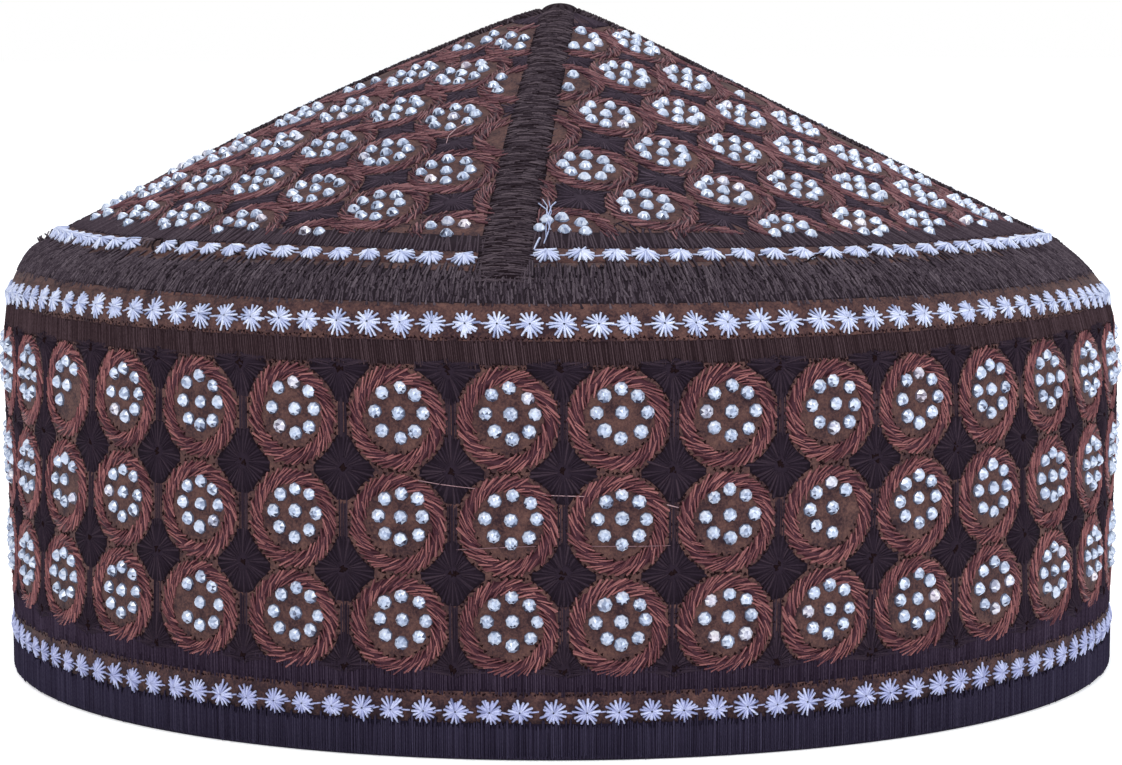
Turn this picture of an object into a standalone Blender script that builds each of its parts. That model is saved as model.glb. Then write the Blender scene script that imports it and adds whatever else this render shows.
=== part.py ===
"""Round embroidered prayer cap: an upright band, a rounded shoulder and a low crown of four gores.

Metres, +Z up. The origin is the centre of the rim, on the surface that the cap rests on, and the
front of the cap faces -Y. Azimuth is measured from the front, positive towards +X.
"""
import math

import bmesh
import bpy
from mathutils import Vector

# Driving dimensions of the cloth's outer face
BAND_RADIUS = 0.0914
BAND_FLARE = 0.0011
WALL_TOP = 0.0552
CROWN_BASE_RADIUS = 0.0829
CROWN_BASE_HEIGHT = 0.0697
CROWN_SIDE_DROP = 0.0006
CROWN_APEX_HEIGHT = 0.1062
CROWN_APEX_ROUNDING = 0.045
CROWN_RIDGE = 0.0005
CROWN_SWELL = 0.0004
TOP_LEAN = -0.0020
CROWN_LEAN = -0.0034
LEAN_START = 0.9 * WALL_TOP
LEAN_WAVE = 0.8 * math.pi

# How square the shoulder is, from 0 (a straight chamfer) to 1 (a sharp corner)
SHOULDER_FULL_FRONT = 0.80
SHOULDER_FULL_SIDE = 0.50
SHOULDER_SLOPE = math.radians(24.0)

# The four seams of the crown
SEAM_AZIMUTH = math.radians(-4.2)
SEAM_TWIST = math.radians(6.0)
SEAM_COUNT = 4
SEAM_WIDTH_TOP = 0.0058
SEAM_WIDTH_FOOT = 0.0086
SEAM_THICKNESS = 0.0010
SEAM_TOP = 0.044
SEAM_FOOT_ON_SHOULDER = 0.80
SEAM_FOOT_SHARE = 0.04

# Walls, and the gap that every two pieces keep
BAND_THICKNESS = 0.0024
CROWN_THICKNESS = 0.0020
GAP = 0.0003
GORE_GAP = 0.0004

# Rim binding, shoulder roll and apex button
BINDING_HEIGHT = 0.0049
BINDING_THICKNESS = 0.0030
BINDING_PROUD = 0.0003
BINDING_ROUND = 0.0008
ROLL_START = 0.45
BAND_BEND = 0.57
GORE_TOP_RADIUS = 0.0022
BUTTON_RADIUS = 0.0031
BUTTON_HEIGHT = 0.0016

# Steps of the faceted surfaces
ROUND_STEPS = 72
BAND_ROWS = 9
ROLL_ROWS = 6
GORE_ROWS = 11
EDGE_ROW = 0.02
STRIP_ROWS = 18
STRIP_COLUMNS = 4

# Colours: linear RGB
BROWN_CLOTH = (0.105, 0.052, 0.024, 1.0)
DARK_SATIN = (0.034, 0.023, 0.028, 1.0)


def blend(low, high, amount):
    """Value that goes from low to high as amount goes from 0 to 1."""
    return low + (high - low) * amount


def ease(amount):
    """Smooth step from 0 to 1, flat at both ends."""
    amount = min(max(amount, 0.0), 1.0)
    return amount * amount * (3.0 - 2.0 * amount)


def wall_radius(height):
    """Radius of the upright wall, slightly wider towards its top."""
    return BAND_RADIUS + BAND_FLARE * (height / WALL_TOP - 0.5)


def top_lean(height):
    """Sideways shift of the cap's top, which leans a little to the left."""
    return TOP_LEAN * ease((height - LEAN_START) / (CROWN_BASE_HEIGHT - LEAN_START))


def turned(azimuth, radius, height, shift):
    """Point at a radius and height round the cap's axis, shifted sideways."""
    return (shift + radius * math.sin(azimuth), -radius * math.cos(azimuth), height)


def wall_point(azimuth, height):
    """Point on the upright wall."""
    return turned(azimuth, wall_radius(height), height, top_lean(height))


def crown_base_height(azimuth):
    """Height of the crown's lower edge, a little lower at the sides than at the front."""
    return CROWN_BASE_HEIGHT - CROWN_SIDE_DROP * math.sin(azimuth - SEAM_AZIMUTH) ** 2


def shoulder_point(azimuth, along):
    """Cubic curve from the wall's top (along 0) to the crown's lower edge (along 1)."""
    full = blend(SHOULDER_FULL_FRONT, SHOULDER_FULL_SIDE, math.sin(azimuth) ** 2)
    start_radius = wall_radius(WALL_TOP)
    end_height = crown_base_height(azimuth)
    reach = start_radius - CROWN_BASE_RADIUS
    corner_height = end_height - reach * math.tan(SHOULDER_SLOPE)
    radii = (
        start_radius,
        start_radius,
        CROWN_BASE_RADIUS + full * reach,
        CROWN_BASE_RADIUS,
    )
    heights = (
        WALL_TOP,
        blend(WALL_TOP, corner_height, full),
        blend(end_height, corner_height, full),
        end_height,
    )
    back = 1.0 - along
    weights = (back ** 3, 3 * back * back * along, 3 * back * along * along, along ** 3)
    radius = sum(weight * value for weight, value in zip(weights, radii))
    height = sum(weight * value for weight, value in zip(weights, heights))
    return turned(azimuth, radius, height, top_lean(height))


def crown_point(azimuth, out):
    """Point on the crown, from its apex (out 0) to its lower edge (out 1).

    The crown is a cone with a rounded tip, raised a little along its four seams.
    """
    rounding = CROWN_APEX_ROUNDING
    fall = (math.hypot(out, rounding) - rounding) / (math.hypot(1.0, rounding) - rounding)
    ridge = CROWN_RIDGE * math.cos(SEAM_COUNT * (azimuth - SEAM_AZIMUTH)) + CROWN_SWELL
    height = blend(CROWN_APEX_HEIGHT, crown_base_height(azimuth), fall)
    height += ridge * 4.0 * out * (1.0 - out)
    lean = CROWN_LEAN * math.sin(LEAN_WAVE * out)
    lean += (TOP_LEAN - CROWN_LEAN * math.sin(LEAN_WAVE)) * out
    return turned(azimuth, CROWN_BASE_RADIUS * out, height, lean)


def seam_azimuth(index, out):
    """Azimuth of a seam, which twists a little as it climbs to the apex."""
    quarter = 2.0 * math.pi / SEAM_COUNT
    return SEAM_AZIMUTH + index * quarter + SEAM_TWIST * (1.0 - out)


def simple_material(name, color, roughness):
    """Principled material of one colour."""
    material = bpy.data.materials.new(name)
    material.use_nodes = True
    shader = material.node_tree.nodes["Principled BSDF"]
    shader.inputs["Base Color"].default_value = color
    shader.inputs["Roughness"].default_value = roughness
    shader.inputs["Metallic"].default_value = 0.0
    material.diffuse_color = color
    return material


def link_piece(name, mesh, material, collection):
    """Object of a mesh, smooth shaded, in the cap's collection."""
    mesh.materials.append(material)
    mesh.shade_smooth()
    piece = bpy.data.objects.new(name, mesh)
    collection.objects.link(piece)
    return piece


def row_place(row, rows):
    """Place of a row, from 0 to 1; the first and last rows are narrow, so an edge stays square."""
    inner_rows = rows - 2
    if row == 0:
        return 0.0
    if row == rows:
        return 1.0
    return blend(EDGE_ROW, 1.0 - EDGE_ROW, (row - 1) / inner_rows)


def sheet_mesh(name, point, columns, rows, closed=False):
    """Grid whose corners run over point(u, v), with u round the cap and v up it, both 0 to 1."""
    grid = bmesh.new()
    bmesh.ops.create_grid(grid, x_segments=columns, y_segments=rows, size=1.0)
    for vertex in grid.verts:
        row = round((0.5 + 0.5 * vertex.co.y) * rows)
        vertex.co = point(0.5 + 0.5 * vertex.co.x, row_place(row, rows))
    if closed:
        bmesh.ops.remove_doubles(grid, verts=grid.verts, dist=1e-6)
    mesh = bpy.data.meshes.new(name)
    grid.to_mesh(mesh)
    grid.free()
    return mesh


def give_thickness(piece, thickness, inward=True):
    """Turn an open sheet into a closed wall."""
    wall = piece.modifiers.new("wall", "SOLIDIFY")
    wall.thickness = thickness
    wall.offset = -1.0 if inward else 1.0
    wall.use_even_offset = True
    wall.use_rim = True


def turned_piece(name, profile, material, collection):
    """Closed outline of (radius, height) points, turned about the cap's axis."""
    outline = bpy.data.meshes.new(name)
    count = len(profile)
    corners = [(radius, 0.0, height) for radius, height in profile]
    outline.from_pydata(corners, [(i, (i + 1) % count) for i in range(count)], [])
    piece = link_piece(name, outline, material, collection)
    turn = piece.modifiers.new("turn", "SCREW")
    turn.axis = "Z"
    turn.steps = ROUND_STEPS
    turn.render_steps = ROUND_STEPS
    turn.use_merge_vertices = True
    turn.merge_threshold = 0.00005
    turn.use_smooth_shade = True
    return piece


def make_rim_binding(material, collection):
    """Flat-bottomed ring under the band; its profile runs down its outer side."""
    outer = wall_radius(0.0) + BINDING_PROUD
    inner = outer - BINDING_THICKNESS
    top = BINDING_HEIGHT
    bevel = BINDING_ROUND
    profile = [
        (outer - bevel, top),
        (outer, top - bevel),
        (outer, bevel),
        (outer - bevel, 0.0),
        (inner + bevel, 0.0),
        (inner, bevel),
        (inner, top - bevel),
        (inner + bevel, top),
    ]
    return turned_piece("rim_binding", profile, material, collection)


def make_band(material, collection):
    """Upright wall that bends into the lower part of the shoulder."""
    foot = BINDING_HEIGHT + GAP

    def point(u, v):
        azimuth = 2.0 * math.pi * u
        if v <= BAND_BEND:
            return wall_point(azimuth, blend(foot, WALL_TOP, v / BAND_BEND))
        return shoulder_point(azimuth, ROLL_START * (v - BAND_BEND) / (1.0 - BAND_BEND))

    mesh = sheet_mesh("band", point, ROUND_STEPS, BAND_ROWS, closed=True)
    piece = link_piece("band", mesh, material, collection)
    give_thickness(piece, BAND_THICKNESS)
    return piece


def make_shoulder_roll(material, collection):
    """Upper part of the shoulder, between the band and the crown."""
    gap_along = GAP / (CROWN_BASE_HEIGHT - WALL_TOP)

    def point(u, v):
        return shoulder_point(2.0 * math.pi * u, blend(ROLL_START + gap_along, 1.0, v))

    mesh = sheet_mesh("shoulder_roll", point, ROUND_STEPS, ROLL_ROWS, closed=True)
    piece = link_piece("shoulder_roll", mesh, material, collection)
    give_thickness(piece, CROWN_THICKNESS)
    return piece


def make_crown_gore(name, index, material, collection):
    """Triangle of the crown between two seams."""
    outer = 1.0 - GAP / CROWN_BASE_RADIUS
    inner = GORE_TOP_RADIUS / CROWN_BASE_RADIUS

    def point(u, v):
        out = blend(outer, inner, v)
        margin = 0.5 * GORE_GAP / (CROWN_BASE_RADIUS * out)
        left = seam_azimuth(index, out) + margin
        right = seam_azimuth(index + 1, out) - margin
        return crown_point(blend(left, right, u), out)

    mesh = sheet_mesh(name, point, ROUND_STEPS // SEAM_COUNT, GORE_ROWS)
    piece = link_piece(name, mesh, material, collection)
    give_thickness(piece, CROWN_THICKNESS)
    return piece


def seam_point(index, side, along):
    """Point beside a seam line: side is a distance to its right, along runs from foot to apex."""
    if along < SEAM_FOOT_SHARE:
        on_shoulder = blend(SEAM_FOOT_ON_SHOULDER, 1.0, along / SEAM_FOOT_SHARE)
        azimuth = seam_azimuth(index, 1.0) + side / CROWN_BASE_RADIUS
        return shoulder_point(azimuth, on_shoulder)
    out = blend(1.0, SEAM_TOP, (along - SEAM_FOOT_SHARE) / (1.0 - SEAM_FOOT_SHARE))
    azimuth = seam_azimuth(index, out) + math.atan2(side, CROWN_BASE_RADIUS * out)
    return crown_point(azimuth, out)


def make_crown_seam(name, index, material, collection):
    """Raised strip over a seam, from the shoulder to the apex."""

    def surface(u, v):
        half = 0.5 * blend(SEAM_WIDTH_FOOT, SEAM_WIDTH_TOP, v)
        return seam_point(index, blend(-half, half, u), v)

    def point(u, v):
        step = 0.001
        here = Vector(surface(u, v))
        round_step = Vector(surface(u + step, v)) - Vector(surface(u - step, v))
        up_step = Vector(surface(u, v + step)) - Vector(surface(u, v - step))
        return here + round_step.cross(up_step).normalized() * GAP

    mesh = sheet_mesh(name, point, STRIP_COLUMNS, STRIP_ROWS)
    piece = link_piece(name, mesh, material, collection)
    give_thickness(piece, SEAM_THICKNESS, inward=False)
    return piece


def make_apex_button(material, collection):
    """Small domed knot on the crown's tip."""
    bottom = CROWN_APEX_HEIGHT + GAP
    mesh = bpy.data.meshes.new("apex_button")
    dome = bmesh.new()
    bmesh.ops.create_uvsphere(dome, u_segments=16, v_segments=10, radius=BUTTON_RADIUS)
    below = [vertex for vertex in dome.verts if vertex.co.z < -1e-6]
    bmesh.ops.delete(dome, geom=below, context="VERTS")
    rim = [edge for edge in dome.edges if edge.is_boundary]
    bmesh.ops.holes_fill(dome, edges=rim, sides=0)
    for vertex in dome.verts:
        vertex.co.z = bottom + vertex.co.z * BUTTON_HEIGHT / BUTTON_RADIUS
    bmesh.ops.recalc_face_normals(dome, faces=dome.faces)
    dome.to_mesh(mesh)
    dome.free()
    return link_piece("apex_button", mesh, material, collection)


def build():
    for thing in list(bpy.data.objects):
        bpy.data.objects.remove(thing, do_unlink=True)
    cap = bpy.data.collections.new("prayer_cap")
    bpy.context.scene.collection.children.link(cap)

    make_rim_binding(simple_material("binding_satin", DARK_SATIN, 0.45), cap)
    make_band(simple_material("band_cloth", BROWN_CLOTH, 0.85), cap)
    make_shoulder_roll(simple_material("roll_satin", DARK_SATIN, 0.45), cap)
    corners = ("front_right", "back_right", "back_left", "front_left")
    for index, corner in enumerate(corners):
        cloth = simple_material("gore_cloth_" + corner, BROWN_CLOTH, 0.85)
        make_crown_gore("crown_gore_" + corner, index, cloth, cap)
    for index, side in enumerate(("front", "right", "back", "left")):
        satin = simple_material("seam_satin_" + side, DARK_SATIN, 0.45)
        make_crown_seam("crown_seam_" + side, index, satin, cap)
    make_apex_button(simple_material("button_satin", DARK_SATIN, 0.45), cap)


build()
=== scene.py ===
"""Looks of the embroidered prayer cap: brown cloth, dark satin bands, rope rings round sewn-on stones,
rows of stars, raised seam strips and the needle marks between them.

All of it lies on the outer face that the CAD part has, worked out here again by the same formulas.
Metres, +Z up. Azimuth 0 is the front (-Y) and grows towards +X. A place on the cap is an azimuth and
a step: 0 to 1 up the wall, 1 to 2 over the shoulder, 2 to 3 up the crown to its apex."""

import bpy
import numpy as np
from mathutils import Matrix, Vector


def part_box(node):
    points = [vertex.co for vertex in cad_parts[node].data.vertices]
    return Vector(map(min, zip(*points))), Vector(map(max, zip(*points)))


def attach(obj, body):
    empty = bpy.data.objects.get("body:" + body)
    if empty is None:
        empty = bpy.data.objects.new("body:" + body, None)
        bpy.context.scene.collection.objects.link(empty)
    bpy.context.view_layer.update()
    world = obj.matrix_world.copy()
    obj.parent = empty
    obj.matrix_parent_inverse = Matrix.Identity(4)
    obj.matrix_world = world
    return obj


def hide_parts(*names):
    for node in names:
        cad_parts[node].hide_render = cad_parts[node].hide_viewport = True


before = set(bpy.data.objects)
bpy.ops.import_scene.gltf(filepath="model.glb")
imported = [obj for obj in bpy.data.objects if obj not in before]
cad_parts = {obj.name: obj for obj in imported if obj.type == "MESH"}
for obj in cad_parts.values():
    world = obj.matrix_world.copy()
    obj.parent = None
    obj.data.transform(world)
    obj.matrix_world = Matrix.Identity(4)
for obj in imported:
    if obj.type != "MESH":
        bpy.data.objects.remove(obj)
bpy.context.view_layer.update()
random = np.random.default_rng(36)

MM = 0.001
TURN = 2 * np.pi

# The cap's outer face, as in the CAD part. The crown is up to 0.9 mm higher here, most at its apex.
BAND_RADIUS = 0.0914
BAND_FLARE = 0.0011
WALL_TOP = 0.0552
CROWN_BASE_RADIUS = 0.0829
CROWN_BASE_HEIGHT = 0.0697
CROWN_SIDE_DROP = 0.0006
CROWN_APEX_HEIGHT = 0.1071
CROWN_APEX_ROUNDING = 0.045
CROWN_RIDGE = 0.0005
CROWN_SWELL = 0.0004
TOP_LEAN = -0.0020
CROWN_LEAN = -0.0034
LEAN_START = 0.9 * WALL_TOP
LEAN_WAVE = 0.8 * np.pi
SHOULDER_FULL_FRONT = 0.80
SHOULDER_FULL_SIDE = 0.50
SHOULDER_SLOPE = np.radians(24)

# Where the photographed cap is a little wider or narrower at its sides than the CAD part: azimuth, height,
# reach up and down, and how much further out, in degrees and millimetres
SIDE_BENDS = [(-90, 57.8, 4.8, -0.9), (90, 53.5, 3.0, -0.65), (90, 62.8, 3.2, 0.8), (-90, 69.5, 3.0, 0.9)]
SIDE_BEND_WIDTH = np.radians(38)

# Cloth pieces
CLOTH_COLUMNS = 144
CLOTH_TURNS = (np.arange(CLOTH_COLUMNS) - CLOTH_COLUMNS / 2) * TURN / CLOTH_COLUMNS
BAND_THICKNESS = 0.0024
CROWN_THICKNESS = 0.0020
BINDING_HEIGHT = 0.0049
BINDING_THICKNESS = 0.0030
BINDING_PROUD = 0.0003
BINDING_ROUND = 0.0008
BINDING_PITCH = 0.25 * MM
BAND_FOOT = 0.0050
SHOULDER_JOIN = 1.56
CROWN_JOIN = 2.01
GORE_TOP_RADIUS = 0.0022
GORE_GAP = 0.0002

# Seam strips over the crown
QUARTER = TURN / 4
SEAM_AZIMUTH = np.radians(-4.2)
SEAM_TWIST = np.radians(6)
SEAM_NAMES = ["front", "right", "back", "left"]
SEAM_WIDTH_TOP = 0.0058
SEAM_WIDTH_FOOT = 0.0086
SEAM_TOP_OUT = 0.036
SEAM_FOOT_STEP = 1.80
SEAM_PITCH = 0.30 * MM
SEAM_BULGE = 0.5 * MM
SHOULDER_LENGTH = 0.021
CROWN_LENGTH = 0.0913
GORE_NAMES = ["front_right", "back_right", "back_left", "front_left"]
BUTTON_RADIUS = 0.0031

# Embroidered bands, as steps on the cap's face
HEM = (0.007, 0.098)
LOWER_SATIN = (0.178, 0.245)
UPPER_SATIN = (1.055, 1.219)
SHOULDER_SATIN = (1.536, 2.007)
CROWN_STRIPE = (2.055, 2.106)
APEX_SATIN = (2.885, 2.965)
EDGE_MARK_PITCH = 0.56 * MM
MARKED_EDGES = [(LOWER_SATIN[0], -1), (LOWER_SATIN[1], 1), (UPPER_SATIN[0], -1), (UPPER_SATIN[1], 1)]

# How far the pattern rises: at each step, millimetres at the front, and more millimetres times the sine
# squared and times the sine of the azimuth. The left gore's rows dip beside the front seam.
PATTERN_RISE = [
    (0.0, 0.0, 0.0, 0.0),
    (0.125, 0.12, 0.3, 0.2),
    (0.214, -0.1, 0.6, 0.0),
    (0.37, -0.45, 1.34, 0.28),
    (0.906, -0.45, 1.34, 0.28),
    (1.055, -0.2, 1.3, 0.1),
    (1.343, 0.0, 2.2, -0.6),
    (1.536, 0.0, 1.88, -0.75),
    (2.0, -0.2, -0.8, -0.8),
    (2.09, 0.0, 1.1, -1.1),
]
SEAM_DIP = 1.3 * MM
SEAM_DIP_WIDTH = np.radians(14)

# Where the rows bend down at the sides: azimuth and width in degrees, millimetres, from which step, to which
END_DIPS = [
    (-90, 10, 1.0, 1.6, 2.2),
    (90, 17, 1.8, 1.6, 2.2),
    (-90, 20, 2.4, 1.22, 1.53),
    (90, 19, 2.2, 1.22, 1.53),
]
END_DIP_EASE = 0.12

# How the columns of medallions lean
COLUMN_LEAN = np.radians(1.9)
RIGHT_LEAN = np.radians(0.33)
COLUMN_LEAN_LEVEL = 29 * MM
COLUMN_LEAN_RISE = 14.8 * MM

# Medallions: a rope ring, eight stones in a circle and one in the middle
CAP_RADIUS = 0.092
COLUMNS = 36
FIRST_COLUMN = np.radians(-65.0)
COLUMN_DRIFT = np.radians(0.64)
COLUMN_DRIFT_START = -0.18
RIGHT_SHIFT = np.radians(0.43)
LEFT_SHIFT = np.radians(-0.75)
STONE_ROWS = np.array([50.0, 35.1, 20.4]) * MM
RING_DROP = 0.95 * MM
RING_SHIFT = 0.45 * MM
BAND_ROUNDS = [(4.95, 6.2, 50), (5.95, 7.25, 58)]
RING_SLANT = 0.35
STONE_CIRCLE = 3.5 * MM
STONE_RADIUS = 0.99 * MM
STONES_AROUND = 8
STONE_CORNERS = 8
WARM_STONES = 0.045

# Painted sky light: how much brighter the stones of each gore are painted than the band's, as they face the
# sky
CROWN_STONE_SKY_LIGHT = (0.28, 0.2, 0.2, 0.08)

# Dark diamonds between the rings: the margin beside a ring and the longest ray, and the heights on the band
BAND_DIAMOND = (0.32 * MM, 4.7 * MM)
CROWN_DIAMOND = (0.05 * MM, 5.2 * MM)
DIAMOND_LEVELS = np.array([55.9, 41.9, 27.3, 13.2]) * MM
DIAMOND_LOWEST = 12.8 * MM
DIAMOND_HIGHEST = 56.8 * MM
DIAMOND_RAYS = 32
MEDALLION_DROP = 14.8 * MM
STRANDS_IN_GAP = 6

# Medallions of the crown, in each gore's flat plane: the seam runs down it from the apex.
# The first medallion's place, one step across, one step down, and how the steps change further on, in
# millimetres.
GORE_SLOPE_SHARE = 0.912
GORE_PLANE_RADIUS = 0.0833
RIGHT_LATTICE = [(11.3, 61.0), (10.4, 0.6), (-1.25, 9.6), (0.0, -0.2), (0.1, -0.2), (-0.1, 0.15)]
LEFT_LATTICE = [(9.5, 62.7), (10.0, 0.15), (-0.5, 9.4), (0.2, -0.35), (0.25, -0.35), (0.0, 0.1)]
LATTICE_ACROSS = range(-1, 9)
LATTICE_DOWN = range(-7, 4)
CROWN_ROUNDS = [(4.75, 5.95, 42), (5.7, 6.95, 48)]
CROWN_STONE_FOOT = 2.082

# Places without stones beside the front seam, in its plane: x from and to, y from and to, in millimetres.
# Near the side strips, the front gores have none either: gore, how far from the strip, step from and to.
BARE_PLACES = [
    (-4.45, 0, -38, -27),
    (-4.5, 0, -56, -48),
    (-4.4, 0, -15.5, -9),
    (-13.5, -10.8, -83.5, -80.8),
    (-5.5, 0, -83.5, -80.9),
    (-7.3, -4, -86, -83.6),
    (7.0, 8.0, -32.2, -30.2),
    (0, 5.2, -18.5, -12.5),
    (0, 5.0, -50, -43),
    (4.5, 6.8, -84.5, -82.5),
    (26.2, 30.4, -79, -76.2),
]
BARE_SIDES = [(0, 8.5 * MM, 2.3, 2.75), (0, 4.0 * MM, 2.0, 2.3), (3, 4.5 * MM, 2.42, 3)]
CROWN_RING_SHIFT = np.array([0.95, -0.25]) * MM

# Stones of the band that have come off, by row and column, with their number round the medallion
LOST_STONES = {(0, 1): (3, 4, 5), (1, 1): (3,), (1, 9): (3, 4), (2, 3): (7,)}

# Rows of stars: step, number round the cap, azimuth of the first, side of the joining thread, the middle's
# height in millimetres, the short rays' share of the star's size, and the rays' width in millimetres
STAR_ROWS = {
    "low": (0.125, 123, np.radians(2.2), 1, 0.5, 0.66, 0.46),
    "middle": (1.343, 123, np.radians(1.19), -1, 0.5, 0.7, 0.44),
    "high": (2.034, 105, np.radians(0.15), -1, 0.85, 0.75, 0.52),
}
# The highest row's part on the left front gore is set off, and closer together further out.
HIGH_LEFT_SHIFT = np.radians(2.17)
HIGH_LEFT_MIDDLE = np.radians(335)
HIGH_LEFT_SQUEEZE = 0.02
STAR_RADIUS = 1.9 * MM
STAR_RAYS = 15

# Wear: the torn part of the highest star row, in degrees, and the height of loose threads
TORN_AZIMUTH = 360 - 49.2
TORN_WIDTH = 2.0
LOOSE_HEIGHT = 0.45 * MM


# The cap's outer face


def ease(share):
    """A share of 0 to 1 with a soft start and end: three squares less two cubes."""
    share = np.clip(share, 0, 1)
    return share * share * (3 - 2 * share)


def blend(a, b, share):
    """The value that lies that share of the way from a to b."""
    return a + (b - a) * share


def even_turns(count):
    """That many angles, evenly spaced over a full turn from 0."""
    return np.arange(count) * TURN / count


def bump(azimuth, middle, width):
    """A bell-shaped share of 0 to 1 that is 1 at the middle azimuth: the exponential of minus the distance
    over the width, squared."""
    distance = (azimuth - middle + TURN / 2) % TURN - TURN / 2
    return np.exp(-((distance / width) ** 2))


def wall_radius(height):
    """The wall's radius, which grows evenly with height."""
    return BAND_RADIUS + BAND_FLARE * (height / WALL_TOP - 0.5)


def crown_base_height(azimuth):
    """The height of the crown's foot. It falls with the squared sine of the angle from the front seam, so
    it is lowest at the two sides."""
    return CROWN_BASE_HEIGHT - CROWN_SIDE_DROP * np.sin(azimuth - SEAM_AZIMUTH) ** 2


def cap_surface(azimuth, step):
    """Points of the outer face. The wall is a cone that hardly opens. The shoulder is a cubic curve from
    the wall's top, up and then in along the crown's slope. The crown's height falls from the apex along a
    hyperbola, with ridges along the seams and a small swell; the upper part leans to one side. Bell-shaped
    bends move the sides out or in."""
    azimuth, step = np.broadcast_arrays(np.asarray(azimuth, float), np.asarray(step, float))
    wall_height = np.clip(step, 0, 1) * WALL_TOP
    t = np.clip(step - 1, 0, 1)
    full = blend(SHOULDER_FULL_FRONT, SHOULDER_FULL_SIDE, np.sin(azimuth) ** 2)
    foot_radius = wall_radius(WALL_TOP)
    reach = foot_radius - CROWN_BASE_RADIUS
    end_height = crown_base_height(azimuth)
    corner = end_height - reach * np.tan(SHOULDER_SLOPE)
    weights = [(1 - t) ** 3, 3 * (1 - t) ** 2 * t, 3 * (1 - t) * t * t, t**3]
    radii = [foot_radius, foot_radius, CROWN_BASE_RADIUS + full * reach, CROWN_BASE_RADIUS]
    heights = [WALL_TOP, blend(WALL_TOP, corner, full), blend(end_height, corner, full), end_height]
    shoulder_radius = sum(w * r for w, r in zip(weights, radii))
    shoulder_height = sum(w * h for w, h in zip(weights, heights))
    out = np.clip(3 - step, 0, 1)
    rounding = CROWN_APEX_ROUNDING
    fall = (np.hypot(out, rounding) - rounding) / (np.hypot(1, rounding) - rounding)
    ridges = CROWN_RIDGE * np.cos(4 * (azimuth - SEAM_AZIMUTH)) + CROWN_SWELL
    crown_height = blend(CROWN_APEX_HEIGHT, end_height, fall) + ridges * 4 * out * (1 - out)
    crown_lean = CROWN_LEAN * np.sin(LEAN_WAVE * out) + (TOP_LEAN - CROWN_LEAN * np.sin(LEAN_WAVE)) * out
    on_wall, on_shoulder = step <= 1, step <= 2
    radius = np.where(on_shoulder, shoulder_radius, CROWN_BASE_RADIUS * out)
    radius = np.where(on_wall, wall_radius(wall_height), radius)
    height = np.where(on_wall, wall_height, np.where(on_shoulder, shoulder_height, crown_height))
    for side, level, extent, amount in SIDE_BENDS:
        near = np.exp(-(((height - level * MM) / (extent * MM)) ** 2))
        radius = radius + amount * MM * near * bump(azimuth, np.radians(side), SIDE_BEND_WIDTH)
    lean = TOP_LEAN * ease((height - LEAN_START) / (CROWN_BASE_HEIGHT - LEAN_START))
    shift = np.where(on_shoulder, lean, crown_lean)
    return np.stack([shift + radius * np.sin(azimuth), -radius * np.cos(azimuth), height], -1)


def unit(vectors):
    """The vectors at length one."""
    return vectors / np.maximum(np.linalg.norm(vectors, axis=-1, keepdims=True), 1e-12)


def cap_frame(azimuth, step):
    """The point, unit vectors to the right, up the slope and outwards there, and the metres that one radian
    of azimuth and one step are worth, from the differences between points close to it."""
    azimuth, step = np.broadcast_arrays(np.asarray(azimuth, float), np.asarray(step, float))
    nudge = 1e-4
    low, high = np.maximum(step - nudge, 0), np.minimum(step + nudge, 3)
    right = (cap_surface(azimuth + nudge, step) - cap_surface(azimuth - nudge, step)) / (2 * nudge)
    up = (cap_surface(azimuth, high) - cap_surface(azimuth, low)) / (high - low)[..., None]
    scale = np.linalg.norm(right, axis=-1), np.linalg.norm(up, axis=-1)
    right, up = unit(right), unit(up)
    return cap_surface(azimuth, step), right, up, unit(np.cross(right, up)), scale


# Flat planes that the embroidery is drawn in, x to the right and y up as seen from outside


def lifted(azimuth, step):
    """The step that a place of the pattern really has, as the pattern's rows rise and fall a little: by the
    rises given for each step, less the bell-shaped dips."""
    steps, front, even, odd = np.array(PATTERN_RISE).T
    sine = np.sin(azimuth)
    rise = np.interp(step, steps, front) + np.interp(step, steps, even) * sine**2
    rise = rise + np.interp(step, steps, odd) * sine
    left = (azimuth - SEAM_AZIMUTH + TURN / 2) % TURN < TURN / 2
    dip = SEAM_DIP * bump(azimuth, SEAM_AZIMUTH, SEAM_DIP_WIDTH) * left * ease((step - 1.8) / 0.2)
    for side, width, depth, low, high in END_DIPS:
        near = ease((step - low) / END_DIP_EASE) * ease((high - step) / END_DIP_EASE)
        dip = dip + depth * MM * near * bump(azimuth, np.radians(side), np.radians(width))
    length = np.where(step < 1, WALL_TOP, np.where(step < 2, SHOULDER_LENGTH, CROWN_LENGTH))
    return step + (rise * MM - dip) / length


def wall_plane(x, y):
    """A place drawn on the unrolled wall: x is the azimuth times the cap's radius, y the height. The columns
    lean to the front with height, most at the sides, and a few of them lean to the right."""
    azimuth = x / CAP_RADIUS
    lean = COLUMN_LEAN * np.sin(azimuth) ** 3 - RIGHT_LEAN * bump(azimuth, np.radians(30), np.radians(14))
    lean = lean * (y - COLUMN_LEAN_LEVEL) / COLUMN_LEAN_RISE
    above = np.maximum(y - WALL_TOP, 0)
    return azimuth - lean, lifted(azimuth, np.minimum(y, WALL_TOP) / WALL_TOP + above / SHOULDER_LENGTH)


def around(azimuth, step, dx, dy):
    """The place that lies dx to the right of a place on the cap and dy up the slope, in metres."""
    scale = cap_frame(azimuth, step)[4]
    return azimuth + dx / scale[0], step + dy / scale[1]


def seam_azimuth(step):
    """The front seam's azimuth, which turns evenly towards the apex. The others are quarter turns from it."""
    return SEAM_AZIMUTH + SEAM_TWIST * (1 - np.clip(3 - step, 0, 1))


def seam_width(step):
    """The strip's width, which grows evenly from the apex to its foot."""
    return blend(SEAM_WIDTH_TOP, SEAM_WIDTH_FOOT, np.clip(3 - step, 0, 1.2) / 1.2)


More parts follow.
